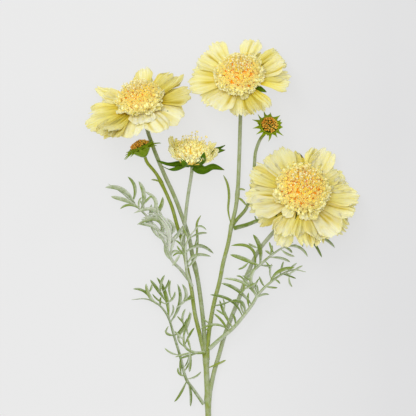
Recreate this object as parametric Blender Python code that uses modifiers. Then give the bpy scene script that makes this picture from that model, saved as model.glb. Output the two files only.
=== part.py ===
"""A cut spray of pale yellow scabiosa, lying on a table: a branching stem with feathery leaves,
three open flowers, one flower that is half open and two green buds.

The table is the plane z = 0, +Y runs from the cut end up to the flowers, and +Z faces whoever looks
down on the spray. Each flower head is built along its own +Z axis, from the tip of its stalk up.
"""
import math
import random

import bmesh
import bpy
from mathutils import Matrix, Vector

MM = 0.001

# Driving sizes, in millimetres
PETAL_ROOT = 6.5
DISC_RADIUS = 17.0
PETAL_THICKNESS = 0.75
STALK_RADIUS = 1.3
TRUNK_RADIUS = 2.2
SEAT_GAP = 0.3
PRESSED_DEPTH = 0.15
BOX_MIDDLE = (0.45, -0.7, 0.0)
WELD_DISTANCE = 0.00001

# Where each head sits on its stalk (mm), and the way it faces
HEADS = {
    "left_flower": {"seat": (-55.5, 95.0, 22.5), "axis": (-0.20, 0.77, 0.60), "scale": 1.0, "roll": 6,
                    "disc": 0.95},
    "top_flower": {"seat": (14.0, 114.5, 14.0), "axis": (-0.05, 0.58, 0.81), "scale": 0.99, "roll": 0,
                   "disc": 1.0},
    "right_flower": {"seat": (57.8, 30.8, 7.2), "axis": (0.10, 0.40, 0.91), "scale": 1.09, "roll": 14,
                     "disc": 1.08},
    "half_open_flower": {"seat": (-20.5, 55.0, 20.5), "axis": (0.05, 0.97, 0.22), "scale": 1.0, "roll": 0},
    "left_bud": {"seat": (-54.0, 61.0, 14.4), "axis": (-0.45, 0.85, 0.27), "scale": 0.96, "roll": 16,
                 "rise": 5.0},
    "right_bud": {"seat": (33.5, 82.0, 12.0), "axis": (0.25, 0.45, 0.86), "scale": 0.88, "roll": 10,
                  "rise": 1.0},
}

# The outer petals of the open flowers: azimuth (degrees), reach from the axis (mm), half width (mm)
PETALS = {
    "left_flower": [
        (12, 44.0, 6.3), (25, 39.5, 6.3), (47, 33.0, 7.3), (80, 36.0, 7.3), (111, 34.0, 7.6),
        (138, 37.5, 5.8), (163, 37.0, 6.3), (188, 34.0, 6.3), (213, 35.0, 7.6), (233, 30.0, 4.3),
        (254, 39.5, 6.5), (276, 36.0, 4.1), (308, 41.0, 5.4), (330, 34.0, 6.3), (350, 38.0, 6.3)],
    "top_flower": [
        (8, 37.5, 6.7), (31, 33.0, 6.7), (56, 34.5, 7.3), (77, 29.0, 5.8), (95, 36.5, 6.0),
        (117, 32.5, 6.3), (155, 36.5, 6.1), (172, 37.0, 6.1), (188, 35.0, 6.1), (202, 37.0, 6.1),
        (216, 32.0, 6.1), (235, 33.5, 5.4), (255, 36.0, 6.3), (291, 38.5, 7.3), (322, 36.5, 6.1),
        (342, 35.5, 6.1)],
    "right_flower": [
        (7, 37.0, 5.9), (23, 35.0, 6.8), (48, 33.0, 7.5), (74, 33.0, 6.8), (92, 31.5, 5.5),
        (110, 36.0, 7.3), (132, 35.0, 6.8), (158, 33.0, 6.4), (176, 34.5, 5.9), (192, 36.5, 6.2),
        (210, 33.5, 6.6), (232, 31.0, 5.5), (253, 36.5, 6.6), (271, 35.5, 5.9), (304, 35.5, 7.0),
        (325, 36.5, 5.9), (340, 37.0, 5.7), (354, 35.0, 5.4)],
}

# Points that the stalks pass through (mm), from the foot of each to the head that it carries
STALKS = {
    "trunk": {
        "route": [(-8.0, -150.0, 2.1), (-8.5, -134.5, 2.2), (-9.0, -112.5, 2.6), (-10.0, -92.5, 3.4),
                  (-10.5, -77.5, 4.2)],
        "radii": (TRUNK_RADIUS, 1.9),
    },
    "left_flower": {
        "route": [(-10.3, -84.0, 3.9), (-12.0, -60.0, 5.0), (-14.0, -42.0, 6.0), (-16.5, -25.0, 6.8),
                  (-20.0, -9.5, 7.2), (-23.0, 5.5, 7.4), (-31.5, 30.0, 7.6), (-40.5, 50.0, 6.6),
                  (-46.2, 63.5, 4.6), (-49.2, 71.5, 4.4), (-52.0, 79.5, 7.6), (-53.6, 86.0, 14.0)],
        "radii": (1.55, STALK_RADIUS),
    },
    "left_bud": {
        "route": [(-10.6, -84.0, 3.9), (-15.0, -65.0, 4.8), (-18.5, -50.0, 5.4), (-21.0, -32.0, 6.0),
                  (-24.5, -15.0, 6.5), (-26.5, -2.0, 6.8), (-30.8, 11.5, 7.2), (-35.0, 26.5, 7.6),
                  (-40.8, 40.0, 8.5), (-46.0, 50.0, 9.6)],
        "radii": (1.5, 1.1),
    },
    "half_open_flower": {
        "route": [(-26.2, -6.0, 6.9), (-26.5, 2.5, 9.2), (-25.5, 15.5, 12.6), (-23.5, 33.0, 15.4)],
        "radii": (1.2, 1.2),
    },
    "top_flower": {
        "route": [(-9.6, -84.0, 3.9), (-8.5, -66.5, 4.8), (-6.0, -50.0, 5.3), (-3.5, -38.5, 5.6),
                  (-0.5, -27.0, 5.9), (2.0, -14.0, 6.0), (5.5, -0.5, 6.0), (8.0, 12.5, 6.0),
                  (11.0, 25.5, 5.8), (12.5, 38.5, 5.4), (13.5, 60.0, 4.8), (14.2, 83.0, 5.0),
                  (14.6, 99.0, 6.0)],
        "radii": (1.5, STALK_RADIUS),
    },
    "right_flower": {
        "route": [(-8.4, -112.0, 2.6), (-5.0, -94.5, 3.0), (-1.0, -80.5, 3.6), (3.0, -66.5, 4.2),
                  (8.5, -52.0, 4.8), (14.0, -38.0, 5.4), (20.5, -20.0, 5.8), (27.0, -6.0, 5.6),
                  (35.5, 5.0, 5.0), (45.0, 15.5, 4.4), (52.0, 23.0, 4.0)],
        "radii": (1.6, 1.25),
    },
    "right_bud": {
        "route": [(8.0, 12.5, 6.0), (12.5, 18.0, 6.0), (18.5, 25.0, 5.6), (21.5, 34.0, 5.2),
                  (23.5, 45.5, 4.8), (24.5, 56.5, 4.6), (25.4, 66.0, 4.8), (28.4, 74.5, 6.0)],
        "radii": (1.2, 1.1),
    },
}

# Slim undivided leaves that grow from the nodes of the stem: points (mm) and half width
STEM_BLADES = [
    {"route": [(-18.7, -13.5, 7.4), (-17.0, -7.0, 11.0), (-16.5, 3.5, 13.0), (-17.0, 14.0, 13.5),
               (-14.0, 20.5, 13.0)], "half_width": 0.9},
    {"route": [(8.0, 12.5, 6.0), (5.6, 23.5, 7.5), (6.2, 34.5, 8.5), (5.0, 43.0, 8.6),
               (2.0, 49.5, 8.0)], "half_width": 0.9},
    {"route": [(11.8, 33.0, 5.6), (15.0, 31.5, 7.0), (19.0, 27.0, 8.6)], "half_width": 0.8},
    {"route": [(12.0, 38.0, 5.4), (14.6, 39.2, 6.4), (18.0, 38.4, 6.6)], "half_width": 0.7},
    {"route": [(-9.5, -90.0, 3.6), (-1.0, -86.5, 6.2), (4.0, -84.0, 6.6)], "half_width": 0.8},
    {"route": [(-43.0, 44.0, 9.0), (-46.5, 45.6, 9.8), (-50.0, 46.0, 10.4)], "half_width": 0.6},
]

# Divided leaves: the rib's points (mm) and its lobes. A lobe's row says what it grows from (0 the
# rib, n the nth lobe), how far along that, its tip (mm), and its bulge to the left as a share of it
LEAVES = {
    "leaf_upper_left": {
        "rib": [(-22.7, -26.5, 8.7), (-28.5, -19.0, 10.2), (-35.0, -12.0, 12.0), (-39.5, -1.0, 14.0),
                (-45.0, 9.0, 15.0), (-52.0, 18.5, 15.0), (-61.0, 27.5, 13.5), (-71.5, 37.0, 11.0),
                (-81.0, 43.0, 8.0)],
        "lobes": [
            (0, 0.78, (-66.8, 48.1, 12.8), -0.18), (0, 0.70, (-58.9, 44.8, 14.1), -0.16),
            (0, 0.68, (-58.0, 30.9, 16.4), -0.17), (0, 0.63, (-54.6, 37.5, 15.0), -0.35),
            (0, 0.60, (-41.6, 33.6, 14.0), -0.06), (0, 0.75, (-83.1, 40.3, 12.4), -0.18),
            (0, 0.75, (-78.9, 33.9, 14.5), -0.08), (0, 0.71, (-72.2, 24.8, 16.0), -0.18),
            (0, 0.46, (-62.5, 21.8, 18.7), -0.47), (0, 0.41, (-60.1, 13.6, 16.3), -0.48),
            (0, 0.41, (-57.1, 17.5, 14.3), -0.17), (0, 0.42, (-50.4, 12.7, 12.4), 0.09),
            (0, 0.45, (-38.9, 18.4, 16.6), -0.55), (0, 0.37, (-26.2, 13.6, 14.0), -0.05),
            (0, 0.24, (-40.1, 0.0, 9.8), 0.14), (0, 0.27, (-28.3, -7.3, 13.3), 0.45)],
    },
    "leaf_upper_middle": {
        "rib": [(-20.3, -31.0, 8.6), (-24.0, -22.0, 12.5), (-25.0, -12.0, 16.5), (-25.0, -2.0, 18.5),
                (-21.5, 6.0, 19.0), (-16.0, 12.0, 18.5)],
        "lobes": [
            (0, 0.88, (-10.1, 9.7, 18.8), 0.40), (0, 0.74, (-9.5, 7.5, 17.9), 0.08),
            (0, 0.51, (-4.9, -7.3, 17.6), 0.30), (0, 0.31, (-6.8, -9.4, 13.7), 0.30),
            (0, 0.45, (-34.6, -9.4, 17.0), -0.30), (0, 0.48, (-32.8, 2.4, 18.3), -0.08)],
    },
    "leaf_lower_left": {
        "rib": [(-12.1, -116.0, 2.9), (-19.0, -106.0, 3.2), (-25.0, -97.0, 4.0), (-29.0, -81.5, 4.6),
                (-33.5, -66.5, 5.5), (-37.5, -53.5, 6.5), (-44.0, -44.5, 7.4), (-53.5, -40.0, 7.6),
                (-64.0, -40.5, 6.6)],
        "lobes": [
            (0, 0.82, (-63.0, -32.8, 8.5), -0.14), (0, 0.77, (-53.6, -28.8, 10.4), 0.13),
            (0, 0.62, (-45.9, -24.4, 7.5), -0.05), (3, 0.42, (-50.6, -26.1, 8.9), -0.01),
            (3, 0.33, (-49.2, -36.2, 5.8), 0.05), (3, 0.64, (-37.2, -25.8, 8.1), -0.05),
            (0, 0.59, (-31.1, -29.1, 7.2), -0.10), (7, 0.41, (-27.8, -29.1, 7.6), -0.30),
            (8, 0.32, (-21.7, -37.2, 7.0), -0.12), (3, 0.36, (-32.8, -34.5, 8.8), -0.13),
            (0, 0.50, (-24.1, -53.9, 6.5), -0.09), (11, 0.63, (-25.1, -46.9, 8.1), 0.13),
            (0, 0.50, (-37.2, -59.3, 5.5), 0.47), (0, 0.26, (-30.5, -89.5, 4.1), 0.21),
            (0, 0.24, (-14.0, -92.3, 2.9), -0.09), (0, 0.23, (-33.5, -114.3, 2.9), -0.01),
            (0, 0.23, (-21.7, -117.6, 2.9), 0.10)],
    },
    "leaf_middle_left": {
        "rib": [(-11.2, -78.5, 6.8), (-18.5, -78.5, 9.0), (-25.0, -75.0, 11.0), (-26.5, -67.5, 12.0),
                (-24.5, -58.0, 12.0), (-22.0, -49.0, 11.5)],
        "lobes": [
            (0, 0.37, (-23.8, -60.1, 8.7), 0.40), (0, 0.67, (-21.1, -49.6, 15.0), -0.02),
            (0, 0.47, (-18.7, -60.6, 13.4), 0.01), (0, 0.24, (-32.8, -81.8, 9.4), 0.02),
            (0, 0.32, (-22.4, -92.8, 8.2), 0.06), (0, 0.11, (-29.5, -83.1, 6.1), 0.01)],
    },
    "leaf_lower_right": {
        "rib": [(-7.9, -75.8, 6.7), (0.0, -68.5, 9.6), (8.5, -61.5, 11.4), (15.5, -53.5, 12.6),
                (22.5, -44.5, 13.5), (27.0, -37.0, 14.0), (33.0, -30.5, 14.5), (42.0, -23.5, 14.0),
                (52.0, -19.0, 12.5), (61.5, -20.5, 11.0)],
        "lobes": [
            (0, 0.53, (2.0, -25.2, 13.9), -0.19), (1, 0.46, (11.3, -23.3, 15.9), -0.24),
            (0, 0.45, (0.5, -28.6, 12.5), -0.07), (3, 0.43, (15.7, -28.0, 16.1), -0.24),
            (0, 0.34, (-7.6, -36.9, 12.6), -0.20), (0, 0.37, (6.4, -41.9, 15.9), -0.31),
            (5, 0.47, (-4.5, -44.7, 14.6), 0.02), (0, 0.23, (-0.7, -40.7, 12.5), 0.03),
            (8, 0.39, (-3.2, -47.5, 12.9), -0.07), (0, 0.19, (-4.8, -50.6, 9.8), -0.02),
            (0, 0.55, (26.2, -16.8, 16.0), 0.22), (0, 0.56, (28.1, -24.9, 14.0), 0.24),
            (0, 0.70, (53.2, -17.3, 15.4), 0.21), (0, 0.81, (51.0, -21.8, 12.5), -0.02),
            (0, 0.81, (54.4, -25.3, 11.5), 0.03), (0, 0.74, (42.8, -29.1, 12.2), 0.09),
            (0, 0.65, (27.8, -23.6, 15.4), 0.10), (0, 0.20, (-14.7, -62.0, 11.1), -0.21),
            (18, 0.63, (-13.4, -53.9, 13.1), -0.02)],
    },
    "leaf_upper_right": {
        "rib": [(19.5, -22.5, 8.3), (24.0, -19.0, 9.8), (30.0, -14.0, 10.8), (36.0, -9.0, 11.2),
                (45.0, -3.0, 11.2), (55.0, -0.5, 10.0)],
        "lobes": [
            (0, 0.34, (23.4, 6.5, 10.5), -0.09), (0, 0.33, (7.0, -8.1, 10.5), 0.01),
            (0, 0.21, (7.6, -1.6, 11.8), -0.36), (0, 0.66, (35.2, 1.2, 11.2), 0.07),
            (0, 0.61, (32.1, -5.0, 12.2), -0.09), (0, 0.80, (38.6, 3.0, 11.2), -0.27),
            (0, 0.80, (62.8, -9.7, 10.2), 0.21), (0, 0.81, (51.6, -6.9, 8.1), 0.13),
            (0, 0.56, (50.2, -13.5, 10.1), 0.06), (0, 0.46, (35.8, -21.8, 9.9), 0.12)],
    },
    "leaf_behind_flower": {
        "rib": [(9.8, 11.0, 6.6), (19.0, 13.5, 9.0), (30.0, 17.5, 11.0), (42.0, 18.5, 10.0),
                (54.0, 13.0, 9.0), (64.0, 6.0, 8.0)],
        "lobes": [
            (0, 0.37, (29.1, 21.1, 11.7), 0.09), (0, 0.33, (24.6, 19.9, 11.3), -0.01),
            (0, 0.81, (59.4, -2.5, 9.0), 0.03), (0, 0.92, (73.1, -10.1, 8.4), 0.08),
            (0, 0.97, (82.4, -3.2, 8.1), 0.09), (0, 0.66, (52.2, 0.4, 9.7), -0.06)],
    },
}

MATERIALS = {
    # name: base colour (linear), roughness
    "stem_green": ((0.25, 0.32, 0.10), 0.6),
    "leaf_green": ((0.36, 0.43, 0.24), 0.7),
    "bract_green": ((0.08, 0.16, 0.03), 0.6),
    "petal_yellow": ((0.88, 0.80, 0.34), 0.6),
    "disc_gold": ((0.92, 0.68, 0.22), 0.6),
    "bud_gold": ((0.62, 0.34, 0.06), 0.6),
}


def clear_scene():
    for obj in list(bpy.data.objects):
        bpy.data.objects.remove(obj)


def make_material(name):
    colour, roughness = MATERIALS[name]
    material = bpy.data.materials.get(name) or bpy.data.materials.new(name)
    material.use_nodes = True
    shader = material.node_tree.nodes["Principled BSDF"]
    shader.inputs["Base Color"].default_value = (*colour, 1)
    shader.inputs["Roughness"].default_value = roughness
    shader.inputs["Metallic"].default_value = 0
    return material


def evaluated_mesh(obj):
    """A plain mesh of the object with its modifiers or its bevel, its doubles welded; the object goes."""
    bpy.context.view_layer.update()
    graph = bpy.context.evaluated_depsgraph_get()
    mesh = bpy.data.meshes.new_from_object(obj.evaluated_get(graph))
    mesh.transform(obj.matrix_world)
    bpy.data.objects.remove(obj)
    bm = bmesh.new()
    bm.from_mesh(mesh)
    bmesh.ops.remove_doubles(bm, verts=bm.verts, dist=WELD_DISTANCE)
    bmesh.ops.recalc_face_normals(bm, faces=bm.faces)
    bm.to_mesh(mesh)
    bm.free()
    return mesh


def link(name, data):
    obj = bpy.data.objects.new(name, data)
    bpy.context.scene.collection.objects.link(obj)
    return obj


def mesh_from(bm, name="piece"):
    mesh = bpy.data.meshes.new(name)
    bmesh.ops.recalc_face_normals(bm, faces=bm.faces)
    bm.to_mesh(mesh)
    bm.free()
    return mesh


def placed(point):
    """A point of the spray in metres, with the middle of the spray's box over the origin."""
    return (Vector(point) - Vector(BOX_MIDDLE)) * MM


def smooth_route(points, steps):
    """Points every few millimetres on a smooth curve through the given ones."""
    knots = [2 * points[0] - points[1], *points, 2 * points[-1] - points[-2]]
    route = []
    for i in range(1, len(knots) - 2):
        p0, p1, p2, p3 = knots[i - 1:i + 3]
        for k in range(steps):
            t = k / steps
            route.append(0.5 * (2 * p1 + (p2 - p0) * t + (2 * p0 - 5 * p1 + 4 * p2 - p3) * t ** 2
                                + (3 * p1 - p0 - 3 * p2 + p3) * t ** 3))
    return [*route, points[-1]]


def sweep(points, radii, profile=None, resolution=2):
    """A tube along the points, round or with the given profile, its radius (m) set at each point."""
    curve = bpy.data.curves.new("sweep", "CURVE")
    curve.dimensions = "3D"
    curve.use_fill_caps = True
    if profile:
        curve.bevel_mode = "OBJECT"
        curve.bevel_object = profile
        curve.twist_mode = "Z_UP"
    else:
        curve.bevel_depth = 1
        curve.bevel_resolution = resolution
    spline = curve.splines.new("POLY")
    spline.points.add(len(points) - 1)
    for target, point, radius in zip(spline.points, points, radii):
        target.co = (*point, 1)
        target.radius = radius
    return evaluated_mesh(link("sweep", curve))


def blade_profile(name, ridge, keel):
    """The flat, ridged section of a blade, one unit in half width, kept out of the render."""
    curve = bpy.data.curves.new(name, "CURVE")
    spline = curve.splines.new("POLY")
    spline.points.add(2)
    for target, corner in zip(spline.points, [(-1, -keel), (0, ridge), (1, -keel)]):
        target.co = (*corner, 0, 1)
    spline.use_cyclic_u = True
    profile = link(name, curve)
    profile.hide_render = True
    profile.display_type = "WIRE"
    return profile


def fuse(name, core, pieces, material, solver="EXACT"):
    """One solid from a core mesh and the pieces that grow out of it."""
    obj = link(name, core)
    group = bpy.data.collections.new(name + "_pieces")
    for piece in pieces:
        group.objects.link(bpy.data.objects.new("piece", piece))
    union = obj.modifiers.new("Union", "BOOLEAN")
    union.operation = "UNION"
    union.operand_type = "COLLECTION"
    union.collection = group
    union.solver = solver
    bpy.context.view_layer.update()
    graph = bpy.context.evaluated_depsgraph_get()
    whole = bpy.data.meshes.new_from_object(obj.evaluated_get(graph))
    obj.modifiers.clear()
    obj.data = whole
    for piece in list(group.objects):
        bpy.data.objects.remove(piece)
    bpy.data.collections.remove(group)
    whole.name = name
    whole.materials.clear()
    whole.materials.append(make_material(material))
    return obj


def head_frame(head):
    """The matrix that stands a head, built upright in mm, on its stalk."""
    facing = Vector(head["axis"]).normalized()
    turn = facing.to_track_quat("Z", "Y").to_matrix().to_4x4()
    roll = Matrix.Rotation(math.radians(head["roll"]), 4, "Z")
    return Matrix.Translation(placed(head["seat"])) @ turn @ roll @ Matrix.Scale(MM * head["scale"], 4)


def rest_on_table(mesh, frame, lowest=0.0):
    """Lays what would be below the table flat on it, as a soft petal lies."""
    back = frame.inverted()
    for vertex in mesh.vertices:
        place = frame @ vertex.co
        if place.z < lowest:
            place.z = lowest
            vertex.co = back @ place


def stand(obj, head):
    """Moves a head's piece from its upright mm frame to its place, with the scale in the mesh."""
    frame = head_frame(head)
    rest_on_table(obj.data, frame)
    place, turn, size = frame.decompose()
    obj.data.transform(Matrix.Diagonal((*size, 1)))
    obj.location = place
    obj.rotation_mode = "QUATERNION"
    obj.rotation_quaternion = turn
    return obj


def turned(profile, sides):
    """A solid turned about +Z from (radius, height) corners, its first and last on the axis."""
    bm = bmesh.new()
    chain = [bm.verts.new((radius, 0, height)) for radius, height in profile]
    edges = [bm.edges.new(pair) for pair in zip(chain, chain[1:])]
    bmesh.ops.spin(bm, geom=chain + edges, axis=(0, 0, 1), cent=(0, 0, 0), steps=sides,
                   angle=math.tau, use_merge=True)
    bmesh.ops.remove_doubles(bm, verts=bm.verts, dist=0.001)
    return mesh_from(bm)


def petal(shape, frame, azimuth, seed):
    """A fan-shaped petal with a three-lobed, pleated tip: a formula on a grid, then thickened.

    A petal that would reach below the table gets one more row, and its end lies flat on it."""
    draw = random.Random(seed)
    length = shape["length"]
    width = shape["width"]
    rise = shape["rise"] + draw.uniform(-1, 1) * shape["unevenness"]
    lean = draw.uniform(-1, 1) * shape["unevenness"] * 0.5
    pleat = shape["pleat"] * draw.uniform(0.7, 1.2) * draw.choice((-1, 1))
    spin = Matrix.Rotation(azimuth, 4, "Z")
    tip = frame @ spin @ Vector((shape["root"] + length, 0, shape["foot"] + rise))
    rows = shape["rows"] + (tip.z < PETAL_THICKNESS * MM)
    bm = bmesh.new()
    bmesh.ops.create_grid(bm, x_segments=rows, y_segments=shape["columns"], size=0.5)
    for vertex in bm.verts:
        out = 1 - (0.5 - vertex.co.x) ** 1.8
        side = 2 * vertex.co.y
        lobe = 1 - shape["notch"] * (1 - abs(math.cos(1.5 * math.pi * side))) - shape["round"] * side ** 2
        reach = shape["root"] + length * out * (1 - out ** 3 * (1 - lobe))
        spread = width * math.sin(0.5 * math.pi * out ** 0.9)
        height = (shape["foot"] + rise * out ** 2 + lean * side * out
                  + pleat * out ** 2 * math.cos(3 * math.pi * side) + shape["cup"] * side ** 2 * out)
        vertex.co = spin @ Vector((reach, spread * side, height))
    bmesh.ops.remove_doubles(bm, verts=bm.verts, dist=0.001)
    bmesh.ops.triangulate(bm, faces=bm.faces)
    sheet = mesh_from(bm)
    rest_on_table(sheet, frame, (PETAL_THICKNESS / 2 - PRESSED_DEPTH) * MM)
    blade = link("petal", sheet)
    thicken = blade.modifiers.new("Thickness", "SOLIDIFY")
    thicken.thickness = PETAL_THICKNESS
    thicken.offset = 0
    return evaluated_mesh(blade)


def cell_around(vertex, corners):
    """The corners of the faces that meet at a vertex, in order round it."""
    loop = vertex.link_loops[0]
    ring = []
    for _ in vertex.link_loops:
        ring.append(corners[loop.face])
        loop = loop.link_loop_prev.link_loop_radial_next
    return ring


def floret_dome(radius, height, foot, count, depth, dimple, skirt=0.0):
    """A dome in rounded cells that spiral by the golden angle, each cell raised into a floret.

    The cells lie round the corners of a hull over the evenly spread floret centres."""
    hull = bmesh.new()
    for i in range(count):
        rise = 1 - (i + 0.4) / count
        ring = math.sqrt(1 - rise ** 2)
        angle = i * math.pi * (3 - math.sqrt(5))
        hull.verts.new((radius * ring * math.cos(angle), radius * ring * math.sin(angle),
                        foot + skirt + height * rise))
    below = hull.verts.new((0, 0, foot - 4 * radius))
    bmesh.ops.convex_hull(hull, input=hull.verts)
    bm = bmesh.new()
    corners = {}
    for face in hull.faces:
        around = [v.co for v in face.verts if v != below]
        corner = sum(around, Vector()) / len(around)
        if below in face.verts:
            corner.z = foot
        corners[face] = bm.verts.new(corner)
    cells = [bm.faces.new(cell_around(v, corners)) for v in hull.verts if v != below]
    bm.faces.new(cell_around(below, corners))
    hull.free()
    bmesh.ops.recalc_face_normals(bm, faces=bm.faces)
    bmesh.ops.inset_individual(bm, faces=cells, thickness=0.14 * depth, depth=depth, use_even_offset=True)
    bmesh.ops.poke(bm, faces=cells, offset=dimple)
    for vertex in bm.verts:
        vertex.co.z = max(vertex.co.z, foot)
    bmesh.ops.triangulate(bm, faces=bm.faces)
    return mesh_from(bm)


def bract(azimuth, start, length, half_width, rise, profile, curl=1.0):
    """A pointed green bract that leaves the cup outwards; the curl holds its rise back to the tip."""
    way = Vector((math.cos(azimuth), math.sin(azimuth), 0))
    shares = (0, 0.35, 0.68, 1)
    widths = (0.7, 1.0, 0.75, 0.15)
    points = [way * (start[0] + length * t) + Vector((0, 0, start[1] + rise * t ** curl)) for t in shares]
    return sweep(points, [half_width * w for w in widths], profile)


def build_open_flower(name, head, profile):
    """Bracts under a pale ring of petals in two layers, and a golden dome of florets."""
    frame = head_frame(head)
    core_foot, core_top, core_radius = 5.6, 9.4, 9.0

    cup = turned([(0, SEAT_GAP), (1.9, SEAT_GAP), (6.2, core_foot - SEAT_GAP),
                  (0, core_foot - SEAT_GAP)], 10)
    bracts = [bract(math.tau * k / 8, (3.0, 4.2), 19, 2.7, -0.6 + (k % 2), profile) for k in range(8)]
    stand(fuse(name + "_bracts", cup, bracts, "bract_green"), head)

    shape = {"root": PETAL_ROOT, "unevenness": 1.3, "pleat": 0.4, "notch": 0.06, "round": 0.2, "cup": 0.6,
             "rows": 2, "columns": 6}
    pieces = []
    for k, (azimuth, reach, half_width) in enumerate(PETALS[name]):
        foot, rise = ((7.1, 2.6), (6.2, -1.2))[k % 2]
        outer = {**shape, "length": reach - PETAL_ROOT, "width": half_width, "foot": foot, "rise": rise}
        pieces.append(petal(outer, frame, math.radians(azimuth), seed=k + head["roll"]))
    inner = {**shape, "width": 4.4, "rows": 1, "columns": 4, "foot": 8.0, "rise": 1.0,
             "unevenness": 0.2, "pleat": 0.0, "cup": 0.4}
    for k in range(9):
        short = {**inner, "length": 14.0 + 1.2 * math.sin(2.4 * k)}
        pieces.append(petal(short, frame, math.tau * (k + 0.3) / 9, seed=100 + k))
    core = turned([(0, core_foot), (core_radius, core_foot), (core_radius, core_top), (0, core_top)], 14)
    stand(fuse(name + "_petals", core, pieces, "petal_yellow", "MANIFOLD"), head)

    disc = floret_dome((DISC_RADIUS - 3.0) * head["disc"], 6.5, core_top + SEAT_GAP, 46, 2.6, -1.5)
    stand(fuse(name + "_disc", disc, [], "disc_gold"), head)


def build_half_open_flower(name, head, profile):
    """Long bracts, some flat and some upright, round a tall dome of opening florets."""
    frame = head_frame(head)
    cup = turned([(0, SEAT_GAP), (1.9, SEAT_GAP), (6.5, 3.0), (0, 3.0)], 10)
    lifts = (2.0, 8.0, 1.0, 7.0, 2.0, 1.0, 3.0)
    bracts = [bract(math.tau * (k + 0.5) / len(lifts), (3.0, 1.7), 18.5, 2.9, lift, profile, curl=4)
              for k, lift in enumerate(lifts)]
    stand(fuse(name + "_bracts", cup, bracts, "bract_green"), head)

    foot = 3.0 + SEAT_GAP
    florets = floret_dome(11.5, 12.5, foot, 43, 3.6, -1.5, skirt=3.0)
    small = {"root": 6.0, "length": 15.0, "width": 4.8, "rows": 2, "columns": 4, "foot": foot + 1.2,
             "rise": 7.0, "cup": 1.5, "unevenness": 0.4, "pleat": 0.0, "notch": 0.12, "round": 0.16}
    petals = [petal(small, frame, angle, seed=40 + k) for k, angle in enumerate((2.75, 3.45, 5.0, 0.2))]
    stand(fuse(name + "_florets", florets, petals, "petal_yellow", "MANIFOLD"), head)


def build_bud(name, head, profile):
    """A green cup with a star of narrow bracts, and a button of unopened florets."""
    rim_radius, rim_height = 7.6, 8.0
    cup = turned([(0, SEAT_GAP), (1.5, SEAT_GAP), (6.6, 5.0), (rim_radius, rim_height),
                  (0, rim_height)], 11)
    points = [bract(math.tau * k / 11, (5.0, 6.6 - 1.4 * (k % 2)), 11.5, 1.7,
                    head["rise"] * (1 - 0.5 * (k % 2)), profile, curl=1.4) for k in range(11)]
    stand(fuse(name + "_calyx", cup, points, "bract_green"), head)

    beads = floret_dome(6.2, 3.6, rim_height + SEAT_GAP, 24, 0.9, 0.3)
    stand(fuse(name + "_button", beads, [], "bud_gold"), head)


def stalk_mesh(name, stalk):
    """A stalk that tapers to its tip and ends square, under the head that it carries."""
    points = [placed(p) for p in stalk["route"]]
    head = HEADS.get(name)
    if head:
        seat = placed(head["seat"])
        facing = Vector(head["axis"]).normalized()
        points += [seat - facing * 5 * MM, seat]
    route = smooth_route(points, 2 if len(points) < 13 else 1)
    foot, tip = stalk["radii"]
    radii = [MM * (foot + (tip - foot) * i / (len(route) - 1)) for i in range(len(route))]
    return sweep(route, radii, resolution=2 if name == "trunk" else 1)


def build_stem(profile):
    """The trunk with its six stalks and the slim leaves at its nodes, grown as one piece."""
    meshes = {name: stalk_mesh(name, stalk) for name, stalk in STALKS.items()}
    trunk = meshes.pop("trunk")
    blades = []
    for blade in STEM_BLADES:
        route = smooth_route([placed(p) for p in blade["route"]], 1)
        widths = [blade["half_width"] * MM * share for share in taper(len(route), 0.9, 0.25)]
        blades.append(sweep(route, widths, profile))
    stem = fuse("stem", trunk, [*meshes.values(), *blades], "stem_green")
    rest_on_table(stem.data, Matrix.Identity(4))
    return stem


def taper(count, foot, tip):
    """Shares of the full width along a blade: widest past its middle, narrow at both ends."""
    shares = []
    for i in range(count):
        t = i / (count - 1)
        belly = math.sin(math.pi * min(1, 0.12 + 0.88 * t)) ** 0.6 if t < 1 else 0
        shares.append(max(belly, foot * (1 - t) + tip * t))
    return shares


def lobe_points(start, tip, bulge, count):
    """Points along a lobe that bows sideways and arches a little on its way to the tip."""
    way = tip - start
    left = Vector((-way.y, way.x, 0)) * bulge + Vector((0, 0, 0.06 * way.length))
    return [start + way * t + left * 4 * t * (1 - t) for t in (i / (count - 1) for i in range(count))]


def point_on(route, share):
    """The point at that share of a route."""
    at = share * (len(route) - 1)
    i = min(int(at), len(route) - 2)
    return route[i].lerp(route[i + 1], at - i)


def build_leaf(name, leaf, profile):
    """A rib with narrow lobes, some of which fork."""
    rib = smooth_route([placed(p) for p in leaf["rib"]], 1)
    widths = [MM * (1.0 - 0.45 * i / (len(rib) - 1)) for i in range(len(rib))]
    widths[-1] *= 0.5
    core = sweep(rib, widths, resolution=0)
    routes = [rib]
    pieces = []
    for parent, share, tip, bulge in leaf["lobes"]:
        start = point_on(routes[parent], share)
        route = lobe_points(start, placed(tip), bulge, 4)
        routes.append(route)
        half_width = MM * 1.0 + 0.02 * (placed(tip) - start).length
        pieces.append(sweep(route, [half_width * w for w in (0.55, 0.95, 1.0, 0.3)], profile))
    leaf_solid = fuse(name, core, pieces, "leaf_green")
    rest_on_table(leaf_solid.data, Matrix.Identity(4))
    return leaf_solid


def main():
    clear_scene()
    lobe_section = blade_profile("lobe_section", 0.6, 0.25)
    bract_section = blade_profile("bract_section", 0.3, 0.12)
    build_stem(lobe_section)
    for name, leaf in LEAVES.items():
        build_leaf(name, leaf, lobe_section)
    for name, head in HEADS.items():
        if name.endswith("bud"):
            build_bud(name, head, bract_section)
        elif name.startswith("half_open"):
            build_half_open_flower(name, head, bract_section)
        else:
            build_open_flower(name, head, bract_section)


main()
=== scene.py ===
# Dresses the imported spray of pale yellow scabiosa, which lies on a pale table: petals, florets, stamens,
# bracts, stalks and feathery leaves. Lengths in the tables are millimetres of the spray.
import functools
import math
import random

import bmesh
import bpy
import numpy as np
from mathutils import Matrix, Vector, noise


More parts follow.
